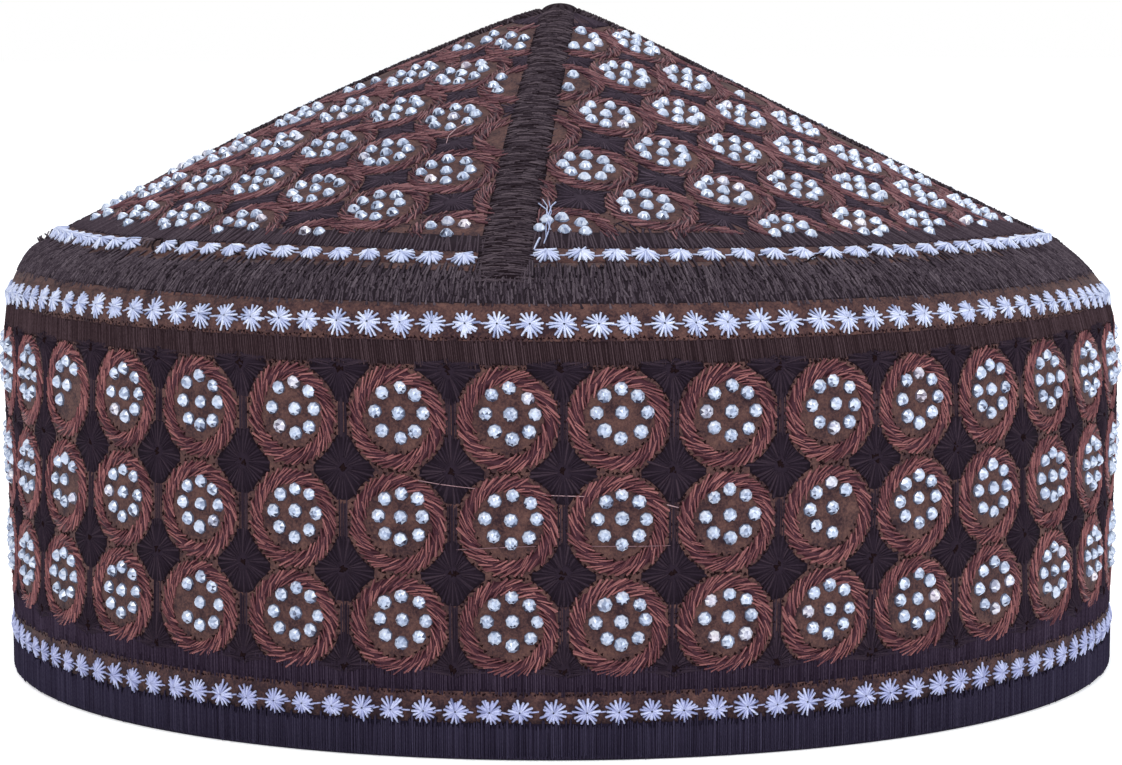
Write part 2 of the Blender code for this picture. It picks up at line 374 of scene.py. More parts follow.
def seam_distance(azimuth, step):
    """The distance along the surface to the nearest seam's middle line."""
    offset = (azimuth - seam_azimuth(step) + QUARTER / 2) % QUARTER - QUARTER / 2
    return np.abs(offset) * CROWN_BASE_RADIUS * np.clip(3 - step, 0, 1)


def gore_of(azimuth, step):
    """The number of the gore, from the front seam towards +X."""
    return np.floor((azimuth - seam_azimuth(step)) / QUARTER).astype(int) % 4


# Meshes


def in_scene(name, data):
    """A new object of the scene."""
    item = bpy.data.objects.new(name, data)
    bpy.context.scene.collection.objects.link(item)
    return item


def finish_piece(
    name, vertices, faces, materials, replaced=(), smooth=True, values=None, uv=None, picks=None
):
    """A mesh object from arrays: points, faces with the same number of corners, per-point or per-face values
    by name, a UV place for each point and a material number for each face."""
    mesh = bpy.data.meshes.new(name)
    faces = np.asarray(faces, np.int32)
    corners = faces.shape[1]
    mesh.vertices.add(len(vertices))
    mesh.vertices.foreach_set("co", np.asarray(vertices, np.float32).ravel())
    mesh.loops.add(faces.size)
    mesh.loops.foreach_set("vertex_index", faces.ravel())
    mesh.polygons.add(len(faces))
    mesh.polygons.foreach_set("loop_start", np.arange(0, faces.size, corners, dtype=np.int32))
    mesh.polygons.foreach_set("loop_total", np.full(len(faces), corners, np.int32))
    mesh.update(calc_edges=True)
    mesh.validate()
    mesh.polygons.foreach_set("use_smooth", np.full(len(faces), smooth))
    for key, numbers in (values or {}).items():
        domain = "POINT" if len(numbers) == len(vertices) else "FACE"
        attribute = mesh.attributes.new(key, "FLOAT", domain)
        attribute.data.foreach_set("value", np.asarray(numbers, np.float32).ravel())
    if uv is not None:
        layer = mesh.uv_layers.new(name="thread")
        layer.data.foreach_set("uv", np.asarray(uv, np.float32)[faces.ravel()].ravel())
    for material in materials:
        mesh.materials.append(material)
    if picks is not None:
        mesh.polygons.foreach_set("material_index", np.asarray(picks, np.int32))
    piece = in_scene(name, mesh)
    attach(piece, "root")
    if replaced:
        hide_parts(*replaced)


def finish_threads(name, parts, material, replaced=()):
    """One piece from several (points, faces, tones, uv) sets, with each set's faces counted on from the
    last."""
    offsets = np.cumsum([0] + [len(p[0]) for p in parts[:-1]])
    faces = np.concatenate([p[1] + offset for p, offset in zip(parts, offsets)])
    points, tone, uv = (np.concatenate([p[i] for p in parts]) for i in (0, 2, 3))
    finish_piece(name, points, faces, [material], replaced, values={"tone": tone}, uv=uv)


def triangles(quads):
    """Each four-cornered face as two three-cornered ones."""
    return np.concatenate([quads[:, [0, 1, 2]], quads[:, [0, 2, 3]]])


def plain(points, quads, tone):
    """A set of points, three-cornered faces, tones and uv places for a surface of one tone."""
    return points, triangles(quads), np.full(len(points), tone), np.zeros((len(points), 2))


def raised(place, height):
    """Points at these places, (azimuth, step), that height above the cap's face."""
    point, _, _, out, _ = cap_frame(*place)
    return point + out * height[..., None]


def pairs(first, second):
    """Every pair of two lists' values, as two flat arrays. The second list's value changes faster."""
    return (x.ravel() for x in np.meshgrid(first, second, indexing="ij"))


def copied(faces, copies, size):
    """The faces of that many copies of a mesh with this number of points, counted on from copy to copy."""
    faces = np.asarray(faces)
    return (faces + (np.arange(copies) * size)[:, None, None]).reshape(-1, faces.shape[1])


def grid_faces(columns, rows, closed, rows_closed=False):
    """Four-cornered faces of a grid numbered column by column, counterclockwise as seen from outside."""
    i, j = pairs(range(columns if closed else columns - 1), range(rows if rows_closed else rows - 1))
    k, m = (i + 1) % columns, (j + 1) % rows
    return np.stack([i * rows + j, k * rows + j, k * rows + m, i * rows + m], -1)


def sheet(azimuth, step, high, low, closed):
    """Points and faces of a sheet with two faces and its edges: a grid of places on the cap at one height
    above it, the same grid at a lower height, and a strip of faces along each open edge."""
    columns, rows = azimuth.shape
    outer = raised((azimuth, step), np.broadcast_to(high, azimuth.shape)).reshape(-1, 3)
    inner = raised((azimuth, step), np.broadcast_to(low, azimuth.shape)).reshape(-1, 3)
    count = len(outer)
    face = grid_faces(columns, rows, closed)
    i = np.arange(columns if closed else columns - 1)
    k = (i + 1) % columns
    low, low_next = i * rows, k * rows
    high, high_next = low + rows - 1, low_next + rows - 1
    parts = [face, face[:, ::-1] + count]
    parts.append(np.stack([low_next, low, low + count, low_next + count], -1))
    parts.append(np.stack([high, high_next, high_next + count, high + count], -1))
    if not closed:
        j = np.arange(rows - 1)
        last = (columns - 1) * rows + j
        parts.append(np.stack([j, j + 1, j + 1 + count, j + count], -1))
        parts.append(np.stack([last + 1, last, last + count, last + 1 + count], -1))
    return np.concatenate([outer, inner]), np.concatenate(parts)


# Stations along a stitch, by their number; how far the streaks are moved on from stitch to stitch; and how
# far a stitch's flat side lies under the face
STATIONS = {2: [0.06, 0.94], 3: [0.05, 0.5, 0.95], 5: [0.04, 0.25, 0.5, 0.75, 0.96]}
UV_STEP = 7.3
UV_TURN = 50
THREAD_SINK = 0.06 * MM


def each(value, count):
    """The value as a column with a row for each of so many stitches. An array has one of its own for each."""
    return np.broadcast_to(np.asarray(value, float), count)[:, None]


def sewn(start, end, width, height, tone, stations=3, rise=(0, 0), arch=0, taper=(1, 1), wave=0):
    """Stitches from start to end, each an (azimuth, step) pair of arrays. A stitch is a thread with a flat
    underside and a crest: its cross-section is three-cornered at each station along it and closes to a
    point at both ends. It rises from one end's height to the other's, plus a parabola of the arch's
    height, its width goes from one of the taper's shares to the other, and its middle is moved to one side
    by the wave. Gives back points, faces, tones and UV places."""
    count = len(start[0])
    along = np.array([0, *STATIONS[stations], 1])
    mid = 4 * along * (1 - along)
    azimuth = blend(start[0][:, None], end[0][:, None], along)
    step = blend(start[1][:, None], end[1][:, None], along)
    point, _, _, out, _ = cap_frame(azimuth, step)
    chord = unit(point[:, -1:] - point[:, :1])
    side = unit(np.cross(chord, out))
    wide = each(width, count) * blend(*taper, along) / 2
    tall = each(height, count) * blend(0.55, 1, np.sqrt(mid))
    base = blend(*(each(end_rise, count) for end_rise in rise), along) + arch * mid
    middle = point + side * (each(wave, count) * mid)[..., None]
    foot = middle + out * (base - THREAD_SINK)[..., None]
    crest = middle + out * (base + tall)[..., None]
    right, left = foot + side * wide[..., None], foot - side * wide[..., None]
    rings = np.stack([right, crest, left], 2)[:, 1:-1].reshape(count, -1, 3)
    points = np.concatenate([foot[:, :1], rings, foot[:, -1:]], 1)
    last = 3 * stations + 1
    faces = [(0, 1, 2), (0, 2, 3), (0, 3, 1)]
    for s in range(stations - 1):
        a = 3 * s + 1
        for b, c in ((a, a + 1), (a + 1, a + 2), (a + 2, a)):
            faces += [(b, b + 3, c + 3), (b, c + 3, c)]
    a = last - 3
    faces += [(last, a + 1, a), (last, a + 2, a + 1), (last, a, a + 2)]
    length = np.linalg.norm(point[:, -1] - point[:, 0], axis=-1)
    shares = np.concatenate([[0], np.repeat(along[1:-1], 3), [1]])
    across = np.array([0.5] + [1, 0.5, 0] * stations + [0.5])
    along_it = length[:, None] / MM * shares + UV_STEP * np.arange(count)[:, None] % UV_TURN
    uv = np.stack(np.broadcast_arrays(across, along_it), -1)
    faces = copied(faces, count, last + 1)
    return points.reshape(-1, 3), faces, np.repeat(each(tone, count), last + 1), uv.reshape(-1, 2)


def tones(count, spread=0.16, middle=0.5):
    """Random thread tones of 0 to 1 about the middle."""
    return np.clip(random.normal(middle, spread, count), 0, 1)


def repeated(shape, faces, azimuth, step, size, spin, lift=0.0):
    """Copies of a small shape that stands on the cap: its points are measured to the right, up the slope and
    outwards, times the size, and turned by the spin."""
    point, right, up, out, _ = (x if isinstance(x, tuple) else x[:, None] for x in cap_frame(azimuth, step))
    x, y, z = (shape[:, i] * size[:, None] for i in range(3))
    z = z + np.broadcast_to(lift, len(azimuth))[:, None]
    c, s = np.cos(spin)[:, None], np.sin(spin)[:, None]
    points = point + right * (x * c - y * s)[..., None] + up * (x * s + y * c)[..., None] + out * z[..., None]
    return points.reshape(-1, 3), copied(faces, len(azimuth), len(shape))


# Materials


def paint(red, green, blue, gain=1.0):
    """A colour given as 0 to 255 on a screen, as the linear values that Blender reads, times the gain."""
    share = np.array([red, green, blue]) / 255
    lit = np.where(share <= 0.04045, share / 12.92, ((share + 0.055) / 1.055) ** 2.4)
    return (*np.minimum(lit * gain, 1), 1)


class Value:
    """A number that a material works out. Sums on it add Math nodes."""

    def __init__(self, shade, socket):
        self.shade = shade
        self.socket = socket

    def sum(self, operation, *others):
        """The result of one Math node on these values, in this order."""
        return self.shade.node("ShaderNodeMath", {"operation": operation}, dict(enumerate(others)))

    def __add__(self, other):
        return self.sum("ADD", self, other)

    def __sub__(self, other):
        return self.sum("SUBTRACT", self, other)

    def __rsub__(self, other):
        return self.sum("SUBTRACT", other, self)

    def __mul__(self, other):
        return self.sum("MULTIPLY", self, other)

    __radd__ = __add__
    __rmul__ = __mul__

    def sine(self):
        return self.sum("SINE", self)

    def clipped(self):
        return self.sum("MINIMUM", self.sum("MAXIMUM", self, 0.0), 1.0)


class Shade:
    """The nodes of one material, or of the world."""

    def __init__(self, name, kind=bpy.data.materials):
        self.owner = kind.new(name)
        self.owner.use_nodes = True
        self.tree = self.owner.node_tree
        self.tree.nodes.clear()

    def node(self, kind, settings=None, sockets=None, result=0):
        """Adds a node with its settings, then its sockets' values or links, and gives back an output."""
        node = self.tree.nodes.new(kind)
        for key, value in (settings or {}).items():
            if key == "stops":
                ramp = node.color_ramp
                while len(ramp.elements) < len(value):
                    ramp.elements.new(1)
                for element, (position, colour) in zip(ramp.elements, value):
                    element.position = position
                    element.color = colour
            else:
                setattr(node, key, value)
        for key, value in (sockets or {}).items():
            if isinstance(value, Value):
                self.tree.links.new(value.socket, node.inputs[key])
            else:
                node.inputs[key].default_value = value
        return Value(self, node.outputs[result])

    def attribute(self, name):
        return self.node("ShaderNodeAttribute", {"attribute_name": name}, result="Fac")

    def ramp(self, factor, stops):
        return self.node("ShaderNodeValToRGB", {"stops": stops}, {0: factor})

    def mix(self, factor, a, b):
        """Colour a, turning into colour b as the factor goes from 0 to 1."""
        return self.node("ShaderNodeMix", {"data_type": "RGBA"}, {0: factor, 6: a, 7: b}, result=2)

    def noise(self, coordinates, scale, detail=2.0, roughness=0.5):
        sockets = {"Vector": coordinates, "Scale": scale, "Detail": detail, "Roughness": roughness}
        return self.node("ShaderNodeTexNoise", {}, sockets)

    def place(self):
        return self.node("ShaderNodeTexCoord", result="Object")

    def split(self, vector):
        """The three parts of a vector."""
        first = self.node("ShaderNodeSeparateXYZ", {}, {0: vector})
        return [Value(self, socket) for socket in first.socket.node.outputs]

    def thread_place(self, across, along):
        """The piece's own UV place, with the distances across and along a thread stretched."""
        uv = self.node("ShaderNodeUVMap", {"uv_map": "thread"})
        return self.node("ShaderNodeVectorMath", {"operation": "MULTIPLY"}, {0: uv, 1: (across, along, 1)})

    def finish(self, sockets, bump=None, strength=0.5, depth=0.1 * MM):
        """The surface shader, with the sockets given and a bump made from a height if there is one."""
        if bump is not None:
            given = {"Height": bump, "Strength": strength, "Distance": depth}
            sockets["Normal"] = self.node("ShaderNodeBump", {}, given)
        shader = self.node("ShaderNodeBsdfPrincipled", {}, sockets, result="BSDF")
        return self.show(shader, "ShaderNodeOutputMaterial")

    def show(self, shader, kind):
        """Links the shader to an output node of this kind."""
        output = self.tree.nodes.new(kind)
        self.tree.links.new(shader.socket, output.inputs["Surface"])
        return self.owner


def brown_cloth(name, dark, light):
    """Napped wool cloth: two browns in soft blotches and fine fibres, dull, with a faint bloom. It is darker
    towards the rim: painted shade low on the cap."""
    shade = Shade(name)
    place = shade.place()
    height = shade.split(place)[2]
    blotches = shade.noise(place, 420, 3)
    fibres = shade.noise(place, 2600, 3, 0.7)
    # painted shade: the cloth is darker below 16 mm height, most below 6 mm
    low_shade = (1.6 - height * 100.0).clipped()
    mixed = (blotches * 1.8 + fibres * 2.1 - low_shade * 0.26 - 1.5).clipped()
    colour = shade.mix(mixed, dark, light)
    sockets = {"Base Color": colour, "Roughness": 0.95, "Specular IOR Level": 0.08}
    sockets |= {"Sheen Weight": 0.05, "Sheen Roughness": 0.6}
    return shade.finish(sockets, bump=fibres, strength=0.6, depth=0.12 * MM)


def thread(name, dark, middle, light, specular=0.08, streaks=0.5, edge_shade=0.25, rough=0.5):
    """Twisted embroidery thread: each stitch has its own tone, streaked along its length and darker towards
    its two edges by a sine, painted shade where stitches meet, and the two plies show as slanting grooves."""
    shade = Shade(name)
    tone = shade.attribute("tone")
    fibres = shade.noise(shade.thread_place(3.0, 1.2), 2.0, 2)
    across, along, _ = shade.split(shade.thread_place(TURN / 2, TURN / 0.7))
    # painted shade: each stitch is darker towards its two edges
    lit = (tone + (fibres - 0.5) * streaks + (across.sine() - 0.64) * edge_shade).clipped()
    colour = shade.ramp(lit, [(0.0, paint(*dark)), (0.5, paint(*middle)), (1.0, paint(*light))])
    plies = (across * 2.0 + along).sine()
    sockets = {"Base Color": colour, "Roughness": rough, "Specular IOR Level": specular}
    return shade.finish(sockets, bump=plies * 0.5 + fibres, strength=0.45, depth=0.05 * MM)


def dull_thread(name, dark, middle, light, streaks=1.0, edge_shade=0.25):
    """Dark thread that hardly shines."""
    return thread(name, dark, middle, light, 0.02, streaks, edge_shade, 0.85)


def faceted_stone(name):
    """Foiled glass: every facet has its own brightness, a painted reflection of another part of the room, and
    a few stones are warmer than the rest."""
    shade = Shade(name)
    facet = shade.attribute("facet")
    warmth = shade.attribute("warmth")
    cool = shade.ramp(facet, STONE_COOL)
    warm = shade.ramp(facet, STONE_WARM)
    colour = shade.mix(warmth, cool, warm)
    sockets = {"Base Color": colour, "Roughness": 0.16, "Metallic": 0.25, "Specular IOR Level": 0.5}
    return shade.finish(sockets)


def plain_dark(name, colour):
    """The painted shade of a needle hole, with a little fuzz."""
    shade = Shade(name)
    fuzz = shade.noise(shade.place(), 4000, 1)
    faint = tuple(c * 1.6 for c in colour[:3]) + (1,)
    sockets = {"Base Color": shade.mix(fuzz, colour, faint), "Roughness": 1.0, "Specular IOR Level": 0.0}
    return shade.finish(sockets)


# Colours of the stones' painted reflections, from a dark facet to a bright one
STONE_COOL = [
    (0.0, paint(54, 58, 78)),
    (0.16, paint(134, 147, 173)),
    (0.36, paint(166, 181, 207)),
    (1.0, paint(224, 233, 248)),
]
STONE_WARM = [
    (0.0, paint(84, 70, 74)),
    (0.2, paint(160, 144, 156)),
    (0.5, paint(216, 200, 204)),
    (1.0, paint(255, 246, 242)),
]

CLOTH = brown_cloth("brown_cloth", paint(46, 31, 37), paint(101, 72, 66))
CLOTH_BACK = brown_cloth("brown_cloth_wrong_side", paint(50, 36, 36, 0.9), paint(86, 64, 58, 0.9))
# The lower and hem satin threads are darker and bluer than those above them: painted shade and a painted
# bluish reflection of the floor, low on the cap.
SHOULDER_THREAD = dull_thread("satin_shoulder", (31, 25, 30), (61, 52, 60), (104, 93, 100))
STRIPE_THREAD = dull_thread("satin_stripe", (36, 28, 34), (64, 54, 62), (90, 79, 86))
UPPER_THREAD = dull_thread("satin_upper", (34, 23, 26), (57, 43, 47), (84, 67, 72))
LOWER_THREAD = dull_thread("satin_lower", (30, 22, 33), (49, 39, 53), (70, 59, 75))
HEM_THREAD = dull_thread("satin_hem", (29, 24, 37), (45, 40, 57), (63, 58, 77))
DIAMOND_THREAD = dull_thread("satin_diamond", (29, 21, 30), (43, 34, 44), (61, 49, 58))
CROWN_DIAMOND_THREAD = dull_thread("crown_diamond", (34, 27, 35), (58, 49, 59), (84, 72, 83))
SEAM_THREAD = dull_thread("seam_thread", (29, 21, 25), (58, 49, 56), (96, 84, 90))
RING_THREAD = thread("ring_thread", (64, 36, 45), (114, 71, 75), (160, 107, 105), streaks=1.0)
# The crown's copy of the ring thread, more mauve and darker than the band's: painted sheen and shade of the
# crown's slope.
CROWN_RING_THREAD = thread("crown_ring_thread", (54, 33, 42), (98, 64, 70), (142, 102, 104), streaks=1.0)
STAR_THREAD = thread("star_thread", (118, 128, 166), (184, 193, 225), (225, 231, 248), 0.15, 0.3)
# A darker, bluer copy of the star thread for the lowest row: painted shade low on the cap.
SHADED_STAR_THREAD = thread("shaded_star_thread", (112, 118, 158), (168, 174, 214), (205, 211, 241), 0.12, 0.3)
LOOSE_THREAD = thread("loose_thread", (112, 84, 90), (152, 120, 126), (184, 152, 156))
STONE = faceted_stone("stone")
NEEDLE_HOLE_SHADE = plain_dark("needle_hole_shade", paint(27, 17, 19))


# Cloth of the band, the shoulder and the crown


def ring_cloth(name, steps, thickness, replaced):
    """A cloth right round the cap, with a row of points at each of these steps."""
    azimuth, step = np.meshgrid(even_turns(CLOTH_COLUMNS), steps, indexing="ij")
    points, faces = sheet(azimuth, step, 0, -thickness, True)
    picks = np.arange(len(faces)) >= CLOTH_COLUMNS * (len(steps) - 1)
    finish_piece(name, points, faces, [CLOTH, CLOTH_BACK], replaced, picks=picks)


def gore_cloth(number):
    """One quarter of the crown between two seams, from the shoulder to the apex button."""
    columns, rows = 41, 33
    steps = np.linspace(CROWN_JOIN, 3 - GORE_TOP_RADIUS / CROWN_BASE_RADIUS, rows)
    share, step = np.meshgrid(np.linspace(0, 1, columns), steps, indexing="ij")
    gap = GORE_GAP / (CROWN_BASE_RADIUS * (3 - step))
    azimuth = seam_azimuth(step) + number * QUARTER + blend(gap, QUARTER - gap, share)
    points, faces = sheet(azimuth, step, 0, -CROWN_THICKNESS, False)
    picks = np.arange(len(faces)) >= (columns - 1) * (rows - 1)
    node = f"crown_gore_{GORE_NAMES[number]}"
    finish_piece(f"{node}_cloth", points, faces, [CLOTH, CLOTH_BACK], [node], picks=picks)


def rim_binding():
    """The folded hem under the rim: a closed profile with a rounded foot, carried once round the cap."""
    columns = CLOTH_COLUMNS
    outer, inner = BINDING_PROUD, BINDING_PROUD - BINDING_THICKNESS
    bend, bevel = BINDING_ROUND, 0.3 * MM
    inner_turn = np.linspace(2, 3, 5) * QUARTER
    outer_turn = np.linspace(3, 4, 5) * QUARTER
    depth = np.concatenate(
        [
            inner + bend + bend * np.cos(inner_turn),
            outer - bend + bend * np.cos(outer_turn),
            [outer, outer - bevel, inner + bevel, inner],
        ]
    )
    turned = bend + bend * np.sin(np.concatenate([inner_turn, outer_turn]))
    height = np.concatenate([turned, BINDING_HEIGHT - np.array([bevel, 0, 0, bevel])])
    rows = len(height)
    azimuth = CLOTH_TURNS[:, None]
    radius = wall_radius(height) + depth
    points = np.stack([radius * np.sin(azimuth), -radius * np.cos(azimuth), height + 0 * azimuth], -1)
    points = points.reshape(-1, 3)
    values = {"tone": tones(len(points), 0.1, 0.35)}
    threads = np.arange(columns) * round(TURN * CAP_RADIUS / BINDING_PITCH / columns)
    uv = np.stack([np.repeat(threads, rows), np.tile(np.arange(rows), columns)], -1)
    faces, node = grid_faces(columns, rows, True, True), "rim_binding"
    finish_piece(f"{node}_cloth", points, faces, [HEM_THREAD], [node], values=values, uv=uv)


# Embroidery round the whole cap


def satin_band(
    name, low, high, material, slant=0.06, spans=((0.0, 1.0),), spread=0.14, ragged=(0.22, 0.22), lift=(0, 0),
    pitch=0.31 * MM,
):
    """A band of upright stitches side by side over a dark ground, painted shade between the stitches. Their
    ends at the foot and the head are uneven by the ragged millimetres and lifted off the cap by the lift's,
    and their heads are set off to either side by the slant's, at random. A wide band has several runs of
    stitches that overlap; the spans are their shares of its height. The spread is that of the tones."""
    turned, size = cap_frame(0, (low + high) / 2)[4]
    count = int(TURN * turned / pitch)
    hidden = 0.15 * MM / size
    rows = np.linspace(low + hidden, high - hidden, 2 + int((high - low) * 12))
    azimuth, step = np.meshgrid(CLOTH_TURNS, rows, indexing="ij")
    # a dark sheet under the stitches: painted shade in the gaps between them
    parts = [plain(*sheet(azimuth, lifted(azimuth, step), 0.05 * MM, -0.05 * MM, True), 0.25)]
    for run, (foot_share, head_share) in enumerate(spans):
        azimuth = (np.arange(count) + random.normal(0, 0.16, count) + 0.5 * run) * TURN / count
        uneven = ragged[0] if foot_share == 0 else 0.7, ragged[1] if head_share == 1 else 0.7
        foot = blend(low, high, foot_share) + random.normal(0, uneven[0] * MM, count) / size
        head = blend(low, high, head_share) + random.normal(0, uneven[1] * MM, count) / size
        shift = random.normal(0, slant * MM, count) / turned
        tall = random.uniform(0.18, 0.28, count) * MM
        wide = random.uniform(1.03, 1.42, count) * pitch
        start, end = (azimuth, lifted(azimuth, foot)), (azimuth + shift, lifted(azimuth, head))
        rise = tuple((0.04 * run + height) * MM for height in lift)
        parts.append(sewn(start, end, wide, tall, tones(count, spread), 2, rise))
    finish_threads(name, parts, material)


def star_row(name, material, step, number, first, side, middle, filling, ray_width):
    """A row of stars. A star has rays of uneven length and angle from a raised middle that shorter rays
    fill, and a thin thread runs from it towards the next star."""
    centre = first + even_turns(number) + random.normal(0, 0.12 * MM, number) / CAP_RADIUS
    on_left = (gore_of(centre, step) == 3) & (step > 2)
    centre = centre + on_left * (HIGH_LEFT_SHIFT - HIGH_LEFT_SQUEEZE * (centre - HIGH_LEFT_MIDDLE))
    clear = seam_width(step) / 2 + 0.8 * MM
    centre = centre[(step < SEAM_FOOT_STEP) | (seam_distance(centre, step) > clear)]
    torn = (np.abs(np.degrees(centre) % 360 - TORN_AZIMUTH) < TORN_WIDTH) & (step > 2)
    centre = centre[~torn]
    number = len(centre)
    line = lifted(centre, np.full(number, step))
    parts = []
    spread = TURN / STAR_RAYS
    for size, wide in ((STAR_RADIUS, ray_width), (filling * STAR_RADIUS, 0.52)):
        azimuth, level = np.repeat(centre, STAR_RAYS), np.repeat(line, STAR_RAYS)
        turned = np.repeat(random.uniform(0, spread, number), STAR_RAYS)
        angle = np.tile(np.arange(STAR_RAYS) * spread, number) + turned
        angle = angle + random.normal(0, 0.16 * spread, len(angle))
        star_size = size * np.repeat(random.normal(1, 0.05, number), STAR_RAYS)
        reach = star_size * random.normal(1, 0.09, len(angle))
        near = 0.12 * MM
        starts = around(azimuth, level, near * np.cos(angle), near * np.sin(angle))
        ends = around(azimuth, level, reach * np.cos(angle), reach * np.sin(angle))
        rise = (middle * random.uniform(0.75, 1.15, len(angle)) * MM, 0.08 * MM)
        tone = tones(len(angle), 0.2, 0.58)
        parts.append(sewn(starts, ends, wide * MM, 0.26 * MM, tone, 2, rise, taper=(1, 0.85)))
    far_x, far_y = side * random.uniform(2.5, 3.1, number) * MM, random.normal(0, 0.12, number) * MM
    start, end = around(centre, line, side * 1.5 * MM, 0), around(centre, line, far_x, far_y)
    parts.append(sewn(start, end, 0.28 * MM, 0.18 * MM, 0.5, 2, rise=(0.12 * MM, 0.02 * MM)))
    finish_threads(f"star_row_{name}", parts, material)


# Medallions


def spokes(centres, radius, angle):
    """Places at these radii and angles from each centre, as x and y with a row for each centre."""
    return tuple(centres[:, i, None] + radius * f(angle) for i, f in enumerate((np.cos, np.sin)))


def everywhere(x, y, clear):
    """The test of places that lets all of them through, however clear of an edge they have to be."""
    return np.ones(np.broadcast(x, y).shape, bool)


def rope_rings(name, place, centres, rounds, material, inside=everywhere):
    """Rope rings round these centres. Each lies on a low dark ring, painted shade between its stitches, and
    has two rounds of slanted stitches, from the round's inner radius to its outer one and further round
    clockwise. The rounds are (inner radius, outer radius, number of stitches)."""
    columns = 24
    inner, outer = rounds[0][0] * MM, rounds[-1][1] * MM
    radius = np.array([inner, (inner + outer) / 2, outer - 0.05 * MM])
    x, y = spokes(centres[..., None], radius, even_turns(columns)[:, None])
    height = np.where(inside(x, y, -0.3 * MM), np.array([-0.06, 0.16, -0.06]), -0.6) * MM
    points = raised(place(x, y), height).reshape(-1, 3)
    faces = grid_faces(columns, 3, True, True)[:, ::-1]
    # the low dark ring: painted shade between the stitches
    parts = [plain(points, copied(faces, len(centres), columns * 3), 0.08)]
    for inner, outer, number in rounds:
        angle = even_turns(number) + random.uniform(0, 0.1, (len(centres), 1))
        angle = angle + random.normal(0, 0.03, (len(centres), number))
        near = inner * MM + random.normal(0, 0.14 * MM, angle.shape)
        far = outer * MM + random.normal(0, 0.14 * MM, angle.shape)
        end = angle - RING_SLANT + random.normal(0, 0.05, angle.shape)
        start_x, start_y = spokes(centres, near, angle)
        end_x, end_y = spokes(centres, far, end)
        kept = inside((start_x + end_x) / 2, (start_y + end_y) / 2, -0.3 * MM)
        count = kept.sum()
        wide = random.uniform(0.26, 0.40, count) * MM
        tall = random.uniform(0.14, 0.34, count) * MM
        start, stop = place(start_x[kept], start_y[kept]), place(end_x[kept], end_y[kept])
        tone = tones(count, 0.24, 0.54)
        rise = (random.uniform(0.02, 0.16, count) * MM, random.uniform(0.0, 0.10, count) * MM)
        parts.append(sewn(start, stop, wide, tall, tone, 2, rise, taper=(0.85, 1.15)))
    finish_threads(name, parts, material)


def diamond_reach(centre, neighbours, margin_radius, farthest, angle):
    """How far a ray from a diamond's centre gets at each angle before it meets a circle of that radius round
    one of its four neighbours. neighbours is (diamonds, 4, 2), the result (diamonds, angles)."""
    x, y = (neighbours[:, :, i, None] - centre[:, None, i, None] for i in (0, 1))
    towards = x * np.cos(angle) + y * np.sin(angle)
    room = towards**2 - (x * x + y * y - margin_radius**2)
    reach = np.where((room > 0) & (towards > 0), towards - np.sqrt(np.maximum(room, 0)), farthest)
    return np.clip(reach.min(1), 0.3 * MM, farthest)


def diamonds(
    name, place, middle, neighbours, ring_radius, material, limits, inside=everywhere, levels=(-1, 1), more=()
):
    """Dark four-pointed shapes between the rings: a low ground and rays of thread from the middle to the
    concave edge, which stay between the lowest and the highest level. The limits are the margin beside a
    ring and the longest ray. More stitches may be added to the piece."""
    count = len(middle)
    angle = even_turns(DIAMOND_RAYS)
    around_it = np.stack([np.cos(angle), np.sin(angle)], -1)
    margin, farthest = limits
    reach = diamond_reach(middle, neighbours, ring_radius + margin, farthest, angle)
    rim = middle[:, None] + reach[..., None] * around_it
    rim_x, rim_y = rim[..., 0], np.clip(rim[..., 1], *levels)
    edge = raised(place(rim_x, rim_y), np.where(inside(rim_x, rim_y, -0.5 * MM), 0.02, -0.6) * MM)
    shown = inside(middle[:, 0], middle[:, 1], 0.0)
    peak = raised(place(*middle.T), np.where(shown, 0.20, -0.5) * MM)
    foot = raised(place(*middle.T), np.full(count, -0.8 * MM))
    points = np.concatenate([peak[:, None], edge, foot[:, None]], 1)
    i = np.arange(DIAMOND_RAYS)
    k = (i + 1) % DIAMOND_RAYS
    last = DIAMOND_RAYS + 1
    slopes, underside = np.stack([0 * i, i + 1, k + 1], -1), np.stack([0 * i + last, k + 1, i + 1], -1)
    faces = copied(np.concatenate([slopes, underside]), count, last + 1)
    points = points.reshape(-1, 3)
    parts = [(points, faces, np.full(len(points), 0.6), np.zeros((len(points), 2)))]
    angle = angle + random.normal(0, 0.04, reach.shape)
    reach = reach * random.normal(1.0, 0.05, reach.shape)
    near = random.uniform(0.55, 1.4, reach.shape) * MM
    start_x, start_y = spokes(middle, near, angle)
    end_x, end_y = spokes(middle, reach, angle)
    end_y = np.clip(end_y, *levels)
    kept = inside(start_x, start_y, -0.5 * MM) & inside(end_x, end_y, -0.5 * MM)
    kept = kept & (reach > near + 0.5 * MM)
    count = kept.sum()
    wide = random.uniform(0.42, 0.62, count) * MM
    start, end = place(start_x[kept], start_y[kept]), place(end_x[kept], end_y[kept])
    rise = (0.16 * MM, 0.03 * MM)
    parts.append(sewn(start, end, wide, 0.14 * MM, tones(count, 0.14), 2, rise, taper=(0.6, 1.1)))
    finish_threads(name, [*parts, *more], material)


def stone_shape():
    """A foiled stone one unit in radius: a girdle of eight corners that widens a little to its foot, kite
    facets up to a smaller ring turned by half a corner, and facets from there to a low point."""
    n = STONE_CORNERS
    corner = even_turns(n)
    half = corner + TURN / (2 * n)
    rings = [(1.10, corner, -0.05), (0.98, corner, 0.22), (0.56, half, 0.74)]
    points = [np.stack([r * np.cos(a), r * np.sin(a), np.full(n, z)], -1) for r, a, z in rings]
    points = np.concatenate([*points, [[0, 0, 0.98], [0, 0, -0.05]]])
    i = np.arange(n)
    k = (i + 1) % n
    faces = [(i, k, k + n), (i, k + n, i + n), (i + n, k + n, i + 2 * n), (k + n, k + 2 * n, i + 2 * n)]
    faces += [(i + 2 * n, k + 2 * n, 0 * i + 3 * n), (k, i, 0 * i + 3 * n + 1)]
    return points, np.concatenate([np.stack(face, -1) for face in faces])


